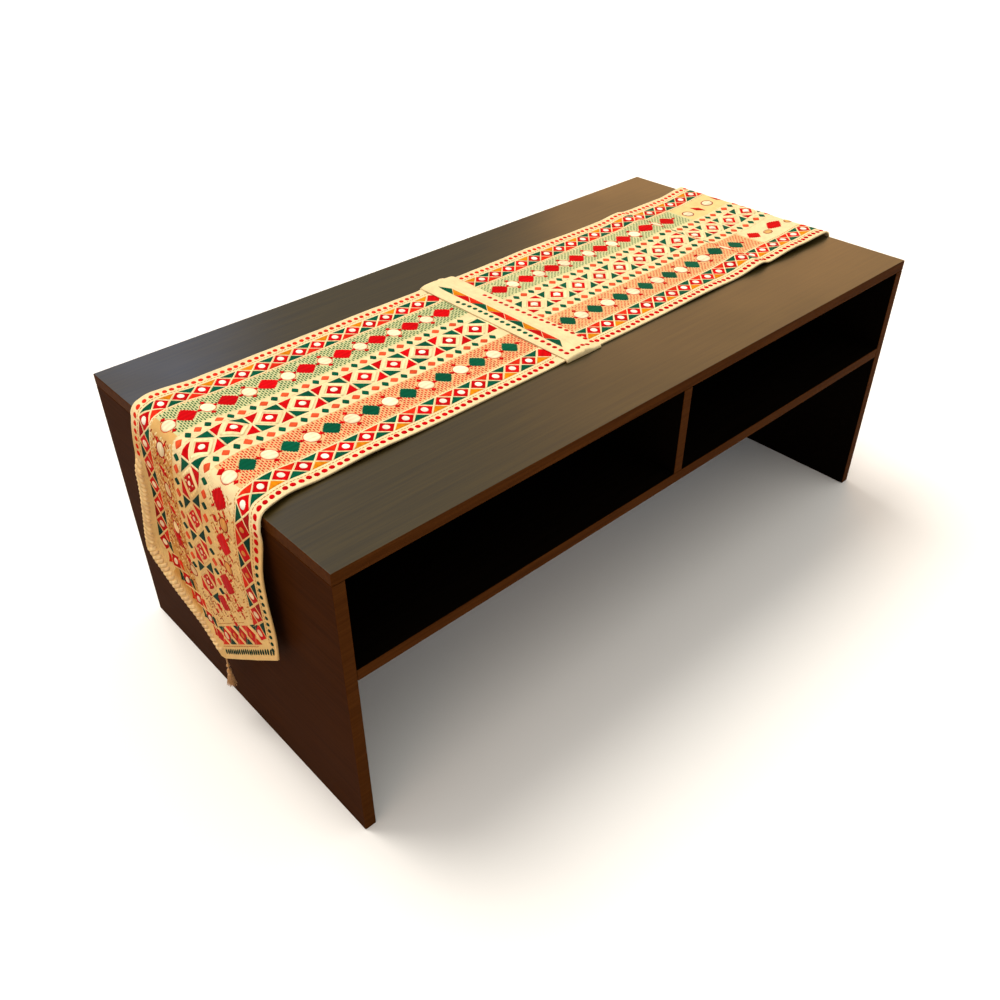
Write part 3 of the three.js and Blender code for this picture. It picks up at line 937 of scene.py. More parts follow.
@dataclass(frozen=True)
class Motif:
    """One stitched shape: its outline, cross-section, thread, and height at the middle."""

    name: str
    outline: np.ndarray = field(compare=False)
    relief: Relief
    colour: Colour
    lay_degrees: float = 0.0
    top: float = 0.7
    hollow: float = 0.0
    stray: float = 0.25

    def mesh(self) -> Mesh:
        """Makes the closed mesh of the flat motif, in metres."""
        rows = self.relief.value
        is_rim = self.relief is Relief.RIM
        if not is_rim:
            rows = [(0.0, rows[0][1]), *rows, (0.0, self.top)]
        rings = []
        for share, high in rows:
            out = self.outline * (self.hollow + (1 - self.hollow) * share)
            rings.append(np.column_stack([out, np.full(len(out), high)]))
        return loft(self.name, np.array(rings), is_loop=is_rim)


@dataclass(frozen=True)
class Bar:
    """A long couched cord along X, in stations so that it bends with the cloth under it."""

    name: str
    length: float
    width: float
    high: float
    colour: Colour
    lay_degrees: float = 45.0
    stations: int = 8
    stray: float = 0.25

    def mesh(self) -> Mesh:
        """Makes the closed mesh of the straight cord, in metres."""
        half, flank = self.width / 2, self.high * 0.55
        section = [(-half, -0.5), (half, -0.5), (half * 0.9, flank), (0, self.high),
                   (-half * 0.9, flank)]
        along = np.linspace(-self.length / 2, self.length / 2, self.stations)
        rings = [[(x, y, z) for y, z in section] for x in along]
        return loft(self.name, np.array(rings), has_caps=True)


def in_colours(colours: Sequence[Colour], name: str, *rest: object, **more: float
               ) -> tuple[Motif, ...]:
    """One motif for each of several colours, its name ending in the colour's.

    Args:
        colours: the colours.
        name: the start of the motifs' names.
        rest: the outline, the relief, and what follows the colour.
        more: further sizes of the motif.

    Returns:
        The motifs.
    """
    outline, relief, *after = rest
    return tuple(Motif(f"{name}_{colour.name}", outline, relief, colour, *after, **more)
                 for colour in colours)


RUNNER_MOTIFS: dict[str, tuple[Motif | Bar, ...]] = {
    "border_embroidery": (
        Motif("border_diamonds", diamond(27.5, 28.5), Relief.SATIN, Colour.RED, 45),
        Motif("border_middles", rounded(10.5, 12.5, 12), Relief.BUTTON, Colour.WHITE, top=1.45),
        Motif("border_dull_middles", rounded(7, 9.5, 12), Relief.BUTTON, Colour.TAN, top=1.4),
        Bar("border_lines", 41, 1.7, 0.75, Colour.CREAM, stations=11),
        *in_colours((Colour.GREEN, Colour.ORANGE, Colour.VERMILION, Colour.DEEP_RED),
                    "border_fill", triangle(26, 12.6), Relief.SATIN),
    ),
    "band_embroidery": (
        *in_colours((Colour.RED, Colour.GREEN), "band_diamonds",
                    stepped_diamond(34.5, 34.5, 5, 1.9), Relief.SATIN, 90, 0.75),
        Motif("band_oval_rims", rounded(25, 25, 16), Relief.RIM, Colour.VERMILION, hollow=0.93),
        Motif("band_ovals", rounded(22.6, 22.6, 16), Relief.DOMED, Colour.PALE, 90, 1.1),
        Motif("hanging_rims", rounded(26, 26, 14), Relief.RIM, Colour.DEEP_RED, hollow=0.84),
        Motif("band_flicks", diamond(11, 8, 2), Relief.THREAD, Colour.RED),
        Motif("hanging_arms", diamond(6.6, 5.4, 2), Relief.THREAD, Colour.RED),
        *in_colours((Colour.PALE, Colour.OCHRE), "hanging_ovals", rounded(21.6, 21.6, 14),
                    Relief.DOMED, 90, 1.1),
    ),
    "band_hatching": (
        *in_colours((Colour.LEAF, Colour.VERMILION), "hatching", stroke(6.0, 1.9),
                    Relief.THREAD, top=0.5, stray=0.3),
        *in_colours((Colour.DEEP_RED, Colour.TAN, Colour.CREAM), "streaks", stroke(7.4, 1.9),
                    Relief.THREAD, top=0.5, stray=0.7),
    ),
    "lattice_embroidery": (
        Motif("lattice_rings", diamond(27.5, 30), Relief.SATIN, Colour.RED, top=0.72),
        Motif("lattice_open_rings", diamond(29, 30), Relief.RIM, Colour.RED, hollow=0.56),
        Motif("lattice_filled", stepped_diamond(28.5, 31, 4, 1.0), Relief.SATIN, Colour.RED,
              top=0.72),
        Motif("lattice_middles", rounded(11, 11.5, 12), Relief.BUTTON, Colour.WHITE, top=1.45),
        Motif("lattice_seeds", rounded(3.4, 3.0, 8), Relief.BUTTON, Colour.PALE, top=1.3),
        Bar("lattice_cords", 29, 4.6, 0.85, Colour.CREAM),
        Bar("lattice_posts", 48, 3.0, 0.8, Colour.CREAM, stations=7),
        *in_colours((Colour.RED, Colour.GREEN), "lattice_corners", right_triangle(20.5, 3),
                    Relief.SATIN),
        *in_colours((Colour.CORAL, Colour.GREEN), "small_diamonds",
                    rounded(13.5, 15, 12, 1.12), Relief.SATIN, 90, stray=0.5),
    ),
    "edge_dots": (
        *in_colours((Colour.RED, Colour.VERMILION), "dots", rounded(8.2, 8.6, 10), Relief.DOMED,
                    90, 0.95, stray=0.6),
        Motif("dots_GREEN", rounded(4.8, 10.6, 10), Relief.DOMED, Colour.GREEN, 90, 0.95,
              stray=0.4),
    ),
    "line_stitches": (
        Motif("tan_stitches", stroke(4.2, 1.2), Relief.THREAD, Colour.TAN, 90, 0.6),
        Motif("cream_stitches", stroke(4.6, 2.0), Relief.THREAD, Colour.CREAM, 90, 0.8),
    ),
    "hem_whipping": (Bar("whipping", 15, 5.4, 0.85, Colour.HEM_THREAD, 90, 9, 0.6),),
}
BAND_MOTIFS = (
    *in_colours((Colour.RED, Colour.GREEN), "dots", rounded(6.4, 8.2, 10), Relief.DOMED,
                90, 0.9, stray=0.4),
    *in_colours((Colour.GREEN, Colour.ORANGE, Colour.RED, Colour.VERMILION), "fill",
                triangle(37, 13.5, 5), Relief.SATIN, stray=0.4),
)


class Placement(NamedTuple):
    """Where one motif goes on the flat cloth, in millimetres, how it turns and how it grows."""

    s: float
    v: float
    turn: float = 0.0
    along: float = 1.0
    across: float = 1.0


class Repeat(NamedTuple):
    """A motif that comes back along the cloth: its first place, its pitch and its last place."""

    first: float
    pitch: float
    last: float

    def runs(self) -> list[float]:
        """Distances of the repeats from the runner's middle."""
        count = math.floor((self.last - self.first) / self.pitch) + 1
        return [self.first + self.pitch * i for i in range(count)]


class Spot(NamedTuple):
    """A mark of a band or of a hanging end: its place and size."""

    run: float
    across: float
    width: float
    height: float


@dataclass(frozen=True)
class HalfChart:
    """The pattern from the cross band out to one end, in millimetres."""

    side: int
    mirrors: Repeat
    big_diamonds: Repeat
    big_ovals: Repeat
    rings: Repeat
    small_greens: Repeat
    small_reds: Repeat
    hanging_from: float
    dull_mirrors: tuple[int, ...]
    red_spots: tuple[Spot, ...]
    pale_spots: tuple[Spot, ...]
    dark_spots: tuple[Spot, ...]


NEAR_CHART = HalfChart(
    side=-1,
    mirrors=Repeat(63.8, 32.55, 752),
    big_diamonds=Repeat(55.5, 64.3, 508),
    big_ovals=Repeat(87.2, 64.2, 545),
    rings=Repeat(53.6, 52.9, 745),
    small_greens=Repeat(52.0, 34.1, 735),
    small_reds=Repeat(69.0, 34.1, 720),
    hanging_from=560,
    dull_mirrors=(16, 17, 18),
    red_spots=(Spot(570, -73, 34, 38), Spot(632, -77, 38, 36), Spot(706, -61, 40, 38),
               Spot(756, -36, 30, 34), Spot(723, -13, 13, 13), Spot(765, 4, 11, 12),
               Spot(778, -62, 9, 14), Spot(735, -84, 9, 12), Spot(790, -8, 9, 10)),
    pale_spots=(Spot(572, 80, 22, 23), Spot(632, 76, 22, 22), Spot(693, 77, 20, 20),
                Spot(750, 46, 17, 21), Spot(600, -84, 20, 19), Spot(670, -76, 20, 18)),
    dark_spots=(Spot(604, 79, 9, 24), Spot(663, 77, 9, 24), Spot(713, 74, 19, 30),
                Spot(735, 54, 9, 16), Spot(540, -62, 9, 9), Spot(601, -63, 8, 12),
                Spot(672, -58, 9, 13), Spot(735, -52, 8, 14), Spot(776, -18, 8, 13)),
)
FAR_CHART = HalfChart(
    side=1,
    mirrors=Repeat(75.0, 30.9, 752),
    big_diamonds=Repeat(69.5, 61.2, 505),
    big_ovals=Repeat(100.0, 61.2, 470),
    rings=Repeat(73.5, 51.1, 745),
    small_greens=Repeat(68.5, 33.3, 735),
    small_reds=Repeat(51.5, 33.3, 720),
    hanging_from=680,
    dull_mirrors=(),
    red_spots=(Spot(556.7, -75, 31, 28), Spot(616.7, -75, 40, 30), Spot(678, -70, 32, 30),
               Spot(738, -52, 30, 30)),
    pale_spots=(Spot(556.7, 74, 21, 22), Spot(618, 78, 21, 22), Spot(679, 74, 21, 21),
                Spot(738, 54, 19, 20), Spot(587, -84, 18, 14), Spot(648, -84, 18, 14)),
    dark_spots=(Spot(587, 76, 9, 24), Spot(648, 76, 9, 24), Spot(709, 66, 9, 24)),
)


@dataclass
class Embroidery:
    """The stitching on one cloth: the cloth's open face, and where each motif goes on it."""

    face: Object
    places: defaultdict[str, list[Placement]] = field(
        default_factory=lambda: defaultdict(list))

    def put(self, name: str, *place: float) -> None:
        """Puts one motif at a place along and across the cloth, with its turn and growth."""
        self.places[name].append(Placement(*place))

    def node_tree(self) -> NodeTree:
        """Builds the node tree once: it instances a motif and lays it on the cloth's face.

        Returns:
            The tree.
        """
        name = "lay_motifs_on_cloth"
        if name in bpy.data.node_groups:
            return bpy.data.node_groups[name]
        tree, given = geometry_tree(name, {
            "Motif": "Object", "Cloth face": "Object", "Flat map": "String",
            "Unevenness": "Float", "Seed": "Int", "Thread": "Material"})
        node = partial(add_node, tree)
        wander = node("FunctionNodeRandomValue", {
            0: (-1, -1, 0), 1: (1, 1, 0), "Seed": given["Seed"]}, data_type="FLOAT_VECTOR")
        shift = node("ShaderNodeVectorMath", {0: wander, "Scale": given["Unevenness"]},
                     operation="SCALE")
        moved = node("GeometryNodeSetPosition", {
            "Geometry": given["Geometry"], "Offset": shift})
        shape = node("GeometryNodeObjectInfo", {
            "Object": given["Motif"], "As Instance": True}, "Geometry")
        turn = node("GeometryNodeInputNamedAttribute", {"Name": "turn"}, data_type="FLOAT")
        upright = node("ShaderNodeCombineXYZ", {"Z": turn})
        grow = node("GeometryNodeInputNamedAttribute", {"Name": "grow"},
                    data_type="FLOAT_VECTOR")
        placed = node("GeometryNodeInstanceOnPoints", {
            "Points": moved, "Instance": shape, "Rotation": upright, "Scale": grow})
        shade = node("FunctionNodeRandomValue", {"Seed": given["Seed"]}, data_type="FLOAT")
        tinted = node("GeometryNodeStoreNamedAttribute", {
            "Geometry": placed, "Name": "tint", "Value": shade},
            data_type="FLOAT", domain="INSTANCE")
        flat = node("GeometryNodeRealizeInstances", {"Geometry": tinted})
        place = node("GeometryNodeInputPosition")
        mapped = node("GeometryNodeStoreNamedAttribute", {
            "Geometry": flat, "Name": "stitch_uv", "Value": place},
            data_type="FLOAT2", domain="CORNER")
        cloth = node("GeometryNodeObjectInfo", {"Object": given["Cloth face"]}, "Geometry")
        cloth_map = node("GeometryNodeInputNamedAttribute", {"Name": given["Flat map"]},
                         data_type="FLOAT_VECTOR")
        at, up = (node("GeometryNodeSampleUVSurface", {
            "Mesh": cloth, "Value": value, "Source UV Map": cloth_map, "Sample UV": place,
        }, data_type="FLOAT_VECTOR") for value in (place, node("GeometryNodeInputNormal")))
        height = node("ShaderNodeSeparateXYZ", {0: place}, "Z")
        raised = node("ShaderNodeVectorMath", {0: up, "Scale": height}, operation="SCALE")
        laid_at = node("ShaderNodeVectorMath", {0: at, 1: raised}, operation="ADD")
        laid = node("GeometryNodeSetPosition", {"Geometry": mapped, "Position": laid_at})
        return end_tree(tree, laid, given["Thread"])

    def lay(self, motif: Motif | Bar, seed: int) -> Object:
        """Lays one motif at all its places and turns the result into a plain mesh.

        Args:
            motif: the stitched shape.
            seed: the seed of its straying and of its tints.

        Returns:
            The laid motifs as one object.
        """
        places = self.places[motif.name]
        dots = bpy.data.meshes.new(f"{motif.name}_places")
        dots.from_pydata([(p.s * MM, p.v * MM, 0) for p in places], [], [])
        sizes = [size for p in places for size in (p.along, p.across, 1.0)]
        for name, kind, key, values in (("turn", "FLOAT", "value", [p.turn for p in places]),
                                        ("grow", "FLOAT_VECTOR", "vector", sizes)):
            dots.attributes.new(name, kind, "POINT").data.foreach_set(key, values)
        shape = new_object(f"{motif.name}_shape", motif.mesh())
        made = run_tree(motif.name, new_object(f"{motif.name}_places", dots), self.node_tree(), {
            "Motif": shape, "Cloth face": self.face, "Flat map": CLOTH_MAP, "Seed": seed,
            "Unevenness": motif.stray * MM,
            "Thread": ThreadFinish(motif.colour, motif.lay_degrees).material()})
        bpy.data.objects.remove(shape)
        return made

    def sew(self, name: str, motifs: Sequence[Motif | Bar], seeds: Sequence[int]) -> Object:
        """Lays several motifs as one piece, each with its own seed."""
        return join_as(name, [self.lay(motif, seed) for motif, seed in zip(motifs, seeds)])


@dataclass
class RunnerEmbroidery(Embroidery):
    """All the stitching on the runner, laid from its charts on the draped cloth."""

    drape: Drape = Drape()
    halves: tuple[HalfChart, ...] = (NEAR_CHART, FAR_CHART)
    border_v: float = 127.5
    border_in: float = 37.5
    triangle_off: float = 10.2
    diagonal_first: float = 29.5
    diagonal_pitch: float = 32.5
    band_v: float = 78.0
    band_half: float = 28.5
    band_inner: float = 48.0
    band_outer: float = 106.0
    diamond_unit: float = 34.0
    oval_unit: float = 24.0
    point_in: float = 60.0
    lattice_streaks_from: float = 772.0
    dot_v: float = 154.5
    dot_first: float = 42.0
    dot_pitch: float = 11.4
    dash_in: float = 11.5
    roll_run: float = 614.0
    hatch_first: float = 28.0
    hatch_last: float = 540.0
    hatch_pitch: float = 3.8
    hatch_rows: int = 8
    frame_off: float = 14.0
    corner_s: float = 18.0
    corner_v: float = 16.2
    small_v: float = 36.6
    dash_pitch: float = 5.2
    whip_pitch: float = 7.4
    whip_turn: float = math.radians(62)
    first_seed: int = 12
    pieces: list[Object] = field(default_factory=list)

    def beside_edge(self, side: int, across: int, offset: float, distances: Sequence[float],
                    turn: float = 0.0) -> list[Placement]:
        """Places on a line inside a slanting edge and parallel to it.

        Args:
            side: -1 at the near end and 1 at the far one.
            across: 1 at the table's back and -1 at its front.
            offset: how far inside the edge the line lies.
            distances: how far along it from the middle line each place is.
            turn: how far each motif turns from the line.

        Returns:
            The places.
        """
        drape = self.drape
        tip = drape.half_length - offset / drape.point_sine
        back = drape.point_depth / drape.slant_length
        way = turn - side * across * math.atan2(drape.half_width, drape.point_depth)
        return [Placement(side * (tip - d * back), across * d * drape.point_sine, way)
                for d in distances]

    def inner_run(self, v: float, offset: float) -> float:
        """How far a line along the cloth reaches before it is within an offset of the point."""
        return float(self.drape.edge_run(v)) - offset / self.drape.point_sine

    def borders(self, half: HalfChart, across: int) -> None:
        """Diamonds with a mirror-like middle between triangles, along a side and the point."""
        side, pitch, v = half.side, half.mirrors.pitch, across * self.border_v
        corner = self.inner_run(self.border_v, self.border_in)
        runs = [run for run in half.mirrors.runs() if run < corner + 4]
        self.put("border_diamonds", side * (half.mirrors.first - pitch), v)
        for k, run in enumerate(runs):
            self.put("border_diamonds", side * run, v)
            is_dull = k in half.dull_mirrors and across < 0
            self.put("border_dull_middles" if is_dull else "border_middles", side * run, v)
        facing, off = (0.0 if across > 0 else math.pi), across * self.triangle_off
        for k in range(len(runs)):
            run = half.mirrors.first + pitch * (k - 0.5)
            outer, inner = ("GREEN", "VERMILION") if k % 2 else ("ORANGE", "GREEN")
            if outer == "ORANGE" and run > half.hanging_from:
                outer = "DEEP_RED"
            self.put(f"border_fill_{outer}", side * run, v + off, facing)
            self.put(f"border_fill_{inner}", side * run, v - off, facing + math.pi)
            for way in (-1, 1):
                self.put("border_lines", side * run, v, way * math.pi / 4)
        distances = [self.diagonal_first + self.diagonal_pitch * i for i in range(4)]
        placed = self.beside_edge(side, across, self.border_in, distances)
        self.places["border_diamonds"] += placed
        if across > 0:
            self.places["border_diamonds"] += self.beside_edge(side, across, self.border_in, [0.0])
        bright = len(placed) if across > 0 else 1
        self.places["border_middles"] += placed[:bright]
        self.places["border_dull_middles"] += placed[bright:]
        between = [self.diagonal_first / 2, *(d + self.diagonal_pitch / 2 for d in distances)]
        for way in (-1, 1):
            away = (0.0 if side * across * way < 0 else math.pi) + facing
            for k, distance in enumerate(between):
                fill = "GREEN" if (k % 2 == 1) == (way < 0) else "VERMILION"
                self.places[f"border_fill_{fill}"] += self.beside_edge(
                    side, across, self.border_in + way * self.triangle_off, [distance], away)
        for way in (-1, 1):
            self.places["border_lines"] += self.beside_edge(
                side, across, self.border_in, between, way * math.pi / 4)

    def band_marks(self, half: HalfChart, across: int) -> tuple[list[Spot], list[Spot]]:
        """The big diamonds and the big ovals of one band, short of the hanging end."""
        sizes = ((35, 35), (22, 25)) if across > 0 else ((30, 34.5), (24, 26))
        diamonds, ovals = (
            [Spot(run, across * self.band_v, *size) for run in repeat.runs()]
            for repeat, size in zip((half.big_diamonds, half.big_ovals), sizes))
        return diamonds, ovals

    def put_spots(self, name: str, side: int, spots: Sequence[Spot], unit: float,
                  turn: float = 0.0) -> None:
        """Puts a motif at every spot, grown from the unit that it is drawn at."""
        for spot in spots:
            self.put(name, side * spot.run, spot.across, turn, spot.width / unit,
                     spot.height / unit)

    def bands(self, half: HalfChart, across: int) -> None:
        """Big stepped diamonds and pale ovals along a band, with small flicks between."""
        side = half.side
        marks, rounds = self.band_marks(half, across)
        colour = "RED" if across > 0 else "GREEN"
        self.put_spots(f"band_diamonds_{colour}", side, marks, self.diamond_unit)
        self.put_spots("band_ovals", side, rounds, self.oval_unit)
        for spot in marks:
            for end in (-1, 1):
                run = spot.run + end * (spot.width / 2 + 2.6)
                self.put("band_flicks", side * run, spot.across + end * across,
                         0.5 * across, 1.0, 0.9)
        for spot in rounds:
            for end in (-1, 1):
                v = spot.across + end * (spot.height / 2 + 3.6)
                self.put("band_flicks", side * spot.run, v, 0.2, 0.9)

    def hanging_marks(self, half: HalfChart) -> None:
        """The uneven marks of a hanging end, and the short rows of red that reach from them."""
        side = half.side
        self.put_spots("band_diamonds_RED", side, half.red_spots, self.diamond_unit, 0.12 * side)
        for name, way in (("PALE", 1), ("OCHRE", -1)):
            self.put_spots(f"hanging_ovals_{name}", side,
                           [spot for spot in half.pale_spots if spot.across * way > 0],
                           self.oval_unit)
        for spot in half.dark_spots:
            self.put("band_flicks", side * spot.run, spot.across, 0.3 * side, spot.width / 8,
                     spot.height / 6)
        for spot in (*half.red_spots, *half.pale_spots):
            for way in (-2.4, -0.75, 0.75, 2.4):
                for count in range(2):
                    reach = 0.38 * max(spot.width, spot.height) + 2.6 + 4.7 * count
                    run = spot.run + reach * math.cos(way)
                    v = spot.across + reach * math.sin(way)
                    is_hanging = half.hanging_from < run < self.inner_run(v, self.point_in)
                    if is_hanging and self.band_inner < abs(v) < self.band_outer:
                        self.put("hanging_arms", side * run, v, side * way)

    def streaks(self, half: HalfChart) -> None:
        """Thin slanting stitches that fill the bands of a hanging end around their marks."""
        chance = np.random.default_rng(17 + half.side)
        marks = (*half.red_spots, *half.pale_spots)
        for across in (-1, 1):
            for row in range(17):
                v = across * (0.2 + 6.6 * row)
                in_lattice = abs(v) <= self.band_inner
                start = half.hanging_from - (4 if across > 0 else 0)
                start = self.lattice_streaks_from if in_lattice else start
                end = self.inner_run(v, self.point_in)
                for run in np.arange(start + 3 * (row % 2), end, 6.0):
                    pick = chance.random()
                    if any(math.hypot(run - m.run, v - m.across) <= 0.42 * (m.width + 4)
                           for m in marks):
                        continue
                    deep = 0.3 if across > 0 or in_lattice else 0.0
                    colour = "DEEP_RED" if pick < deep else "TAN" if pick < 0.5 else "CREAM"
                    way = (0.8 if (row + int(run / 14)) % 2 else -0.8) * half.side
                    self.put(f"streaks_{colour}", half.side * float(run), v, way)

    def hatching(self, half: HalfChart, across: int) -> None:
        """Short running stitches that fill a band around its motifs."""
        pitch_v = 2 * self.band_half / self.hatch_rows
        size = 1.0 if half.side < 0 else 0.78
        marks, rounds = self.band_marks(half, across)
        for column in range(int((self.hatch_last - self.hatch_first) / self.hatch_pitch)):
            run = self.hatch_first + column * self.hatch_pitch
            shift = (column % 2 - 0.5) * pitch_v / 2
            for row in range(self.hatch_rows):
                v = across * self.band_v + (row + 0.5) * pitch_v - self.band_half + shift
                in_diamond = any(abs(run - m.run) / (m.width / 2 + 2)
                                 + abs(v - m.across) / (m.height / 2 + 3) < 1 for m in marks)
                in_oval = any(math.hypot((run - m.run) / (m.width / 2 + 2),
                                         (v - m.across) / (m.height / 2 + 4)) < 1
                              for m in rounds)
                if not in_diamond and not in_oval:
                    self.put("hatching_LEAF" if across > 0 else "hatching_VERMILION",
                             half.side * run, v, math.pi / 2, size, size)

    def lattice(self, half: HalfChart) -> None:
        """The middle strip: ringed diamonds in cream frames, corner triangles, small diamonds."""
        side = half.side
        reach = self.frame_off / math.sqrt(2)
        for run in half.rings.runs():
            s, hangs = side * run, run > half.hanging_from
            self.put("lattice_middles", s, 0, 0, *((0.62, 0.62) if hangs else ()))
            self.put("lattice_posts", side * (run - half.rings.pitch / 2), 0, math.pi / 2)
            plain = "lattice_rings" if side < 0 else "lattice_open_rings"
            self.put("lattice_filled" if hangs else plain, s, 0)
            for way in (0, math.pi / 2, math.pi, -math.pi / 2) if hangs else ():
                self.put("lattice_seeds", s + 8.2 * math.cos(way), 8.8 * math.sin(way), way)
            for along, across in ((-1, -1), (-1, 1), (1, -1), (1, 1)):
                is_green = (along == -side) == (across > 0)
                size = 1.0 if side < 0 else 0.85 if is_green else 0.68
                turn = math.atan2(across, along) - math.pi / 4
                self.put("lattice_corners_GREEN" if is_green else "lattice_corners_RED",
                         s + along * self.corner_s, across * self.corner_v, turn, size, size)
                self.put("lattice_cords", s + along * reach, across * reach,
                         -along * across * math.pi / 4)
        for v in (-self.small_v, self.small_v):
            end = self.inner_run(v, 62)
            for colour, repeat, size in (("GREEN", half.small_greens, (0.82,)),
                                         ("CORAL", half.small_reds, (1.05, 0.95))):
                for run in repeat.runs():
                    if run < end:
                        self.put(f"small_diamonds_{colour}", side * run, v, 0, *size)

    def dots(self, half: HalfChart) -> None:
        """Rows of dots beside the hem, and the slanting dashes round the near point's front."""
        near = half.side < 0
        along_edge = np.arange(11, 196, 8.2)
        count = int((self.drape.corner_run - 8 - self.dot_first) / self.dot_pitch) + 1
        for i in range(count):
            run = self.dot_first + self.dot_pitch * i
            s, wander = half.side * run, 0.7 * math.sin(run / 23)
            if not near or run < self.roll_run:
                self.put("dots_RED", s, -self.dot_v + wander, -0.3)
                self.put("dots_VERMILION", s, self.dot_v + wander, -0.4, 0.92)
            else:
                self.put("dots_GREEN", s, -self.dot_v + 1.0, 0.6, 1.25, 0.86)
        self.places["dots_GREEN" if near else "dots_RED"] += self.beside_edge(
            half.side, -1, self.dash_in, along_edge, 0.63 * half.side)
        if not near:
            self.places["dots_VERMILION"] += self.beside_edge(
                half.side, 1, self.dash_in, along_edge, 0.3)

    def fine_lines(self, half: HalfChart, across: int) -> None:
        """Rows of small stitches between the borders, the bands and the middle strip."""
        is_rolled = half.side < 0 < across
        for v, offset, colour in ((147, 18, "tan"), (109.3, 56, "tan"), (46.8, 60, "cream"),
                                  (27.8, 60, "cream")):
            end = self.inner_run(v, offset)
            if is_rolled and v > self.border_v:
                end = min(end, self.roll_run)
            for i in range(int((end - self.hatch_first) / self.dash_pitch)):
                run = self.hatch_first + self.dash_pitch * i
                self.put(f"{colour}_stitches", half.side * run, across * v)
        for offset in (56,) if is_rolled else (20, 56):
            length = 0.992 * (self.drape.half_width - offset)
            self.places["tan_stitches"] += self.beside_edge(
                half.side, across, offset, np.arange(3, length, self.dash_pitch))

    def whipping(self) -> None:
        """Slanting stitches over the rolled hem of the near end."""
        middle = self.drape.roll_width / 2
        v = self.drape.half_width - middle
        for run in np.arange(self.roll_run + 6, self.inner_run(v, middle), self.whip_pitch):
            self.put("whipping", -run, v, self.whip_turn)
        self.places["whipping"] += self.beside_edge(
            -1, 1, middle, np.arange(10, 192, self.whip_pitch), self.whip_turn)

    def build(self) -> None:
        """Charts every motif, then stitches one piece for each group of them."""
        for half in self.halves:
            for across in (-1, 1):
                self.borders(half, across)
                self.bands(half, across)
                self.hatching(half, across)
                self.fine_lines(half, across)
            self.hanging_marks(half)
            self.streaks(half)
            self.lattice(half)
            self.dots(half)
        self.whipping()
        self.places["band_oval_rims"] = self.places["band_ovals"]
        self.places["hanging_rims"] = [
            *self.places["hanging_ovals_PALE"], *self.places["hanging_ovals_OCHRE"]]
        seed = self.first_seed
        for name, motifs in RUNNER_MOTIFS.items():
            self.pieces.append(self.sew(name, motifs, range(seed, seed + len(motifs))))
            seed += len(motifs)


@dataclass
class BandEmbroidery(Embroidery):
    """The stitching on the cross band: two rows of dots and a row of triangles between."""

    near_dots_u: float = 12.0
    near_pitch: float = 12.53
    far_dots_u: float = 64.0
    far_pitch: float = 12.6
    triangles_u: float = 26.5
    triangle_first: float = 126.0
    triangle_pitch: float = 20.6
    seeds: tuple[int, ...] = (71, 71, 72, 72, 72, 72)
    piece: Object | None = None

    def build(self) -> None:
        """Lays the stitching on the band's face as one piece."""
        for i in range(20):
            v = self.near_pitch * i - 156.0
            drawn = 4.0 * float(smooth((v - 40) / 50))
            self.put("dots_RED" if v < -85 else "dots_GREEN", self.near_dots_u - drawn, v, 0.35)
        for i in range(19):
            v = self.far_pitch * i - 153.0
            drawn = 9.0 * float(smooth((v + 150) / 200)) - 4.0
            self.put("dots_RED", self.far_dots_u - drawn, v, 0.35)
        for u in (24, 34.5, 45, 55):
            self.put("dots_RED", u, -155.5, 1.2)
        for i in range(13):
            way = 1 if i % 2 == 0 else -1
            fill = ("GREEN", "ORANGE", "RED", "VERMILION")[i % 4]
            self.put(f"fill_{fill}", self.triangles_u - 2.0 * way,
                     self.triangle_first - self.triangle_pitch * i, way * math.pi / 2)
        self.piece = self.sew("cross_band_embroidery", BAND_MOTIFS, self.seeds)


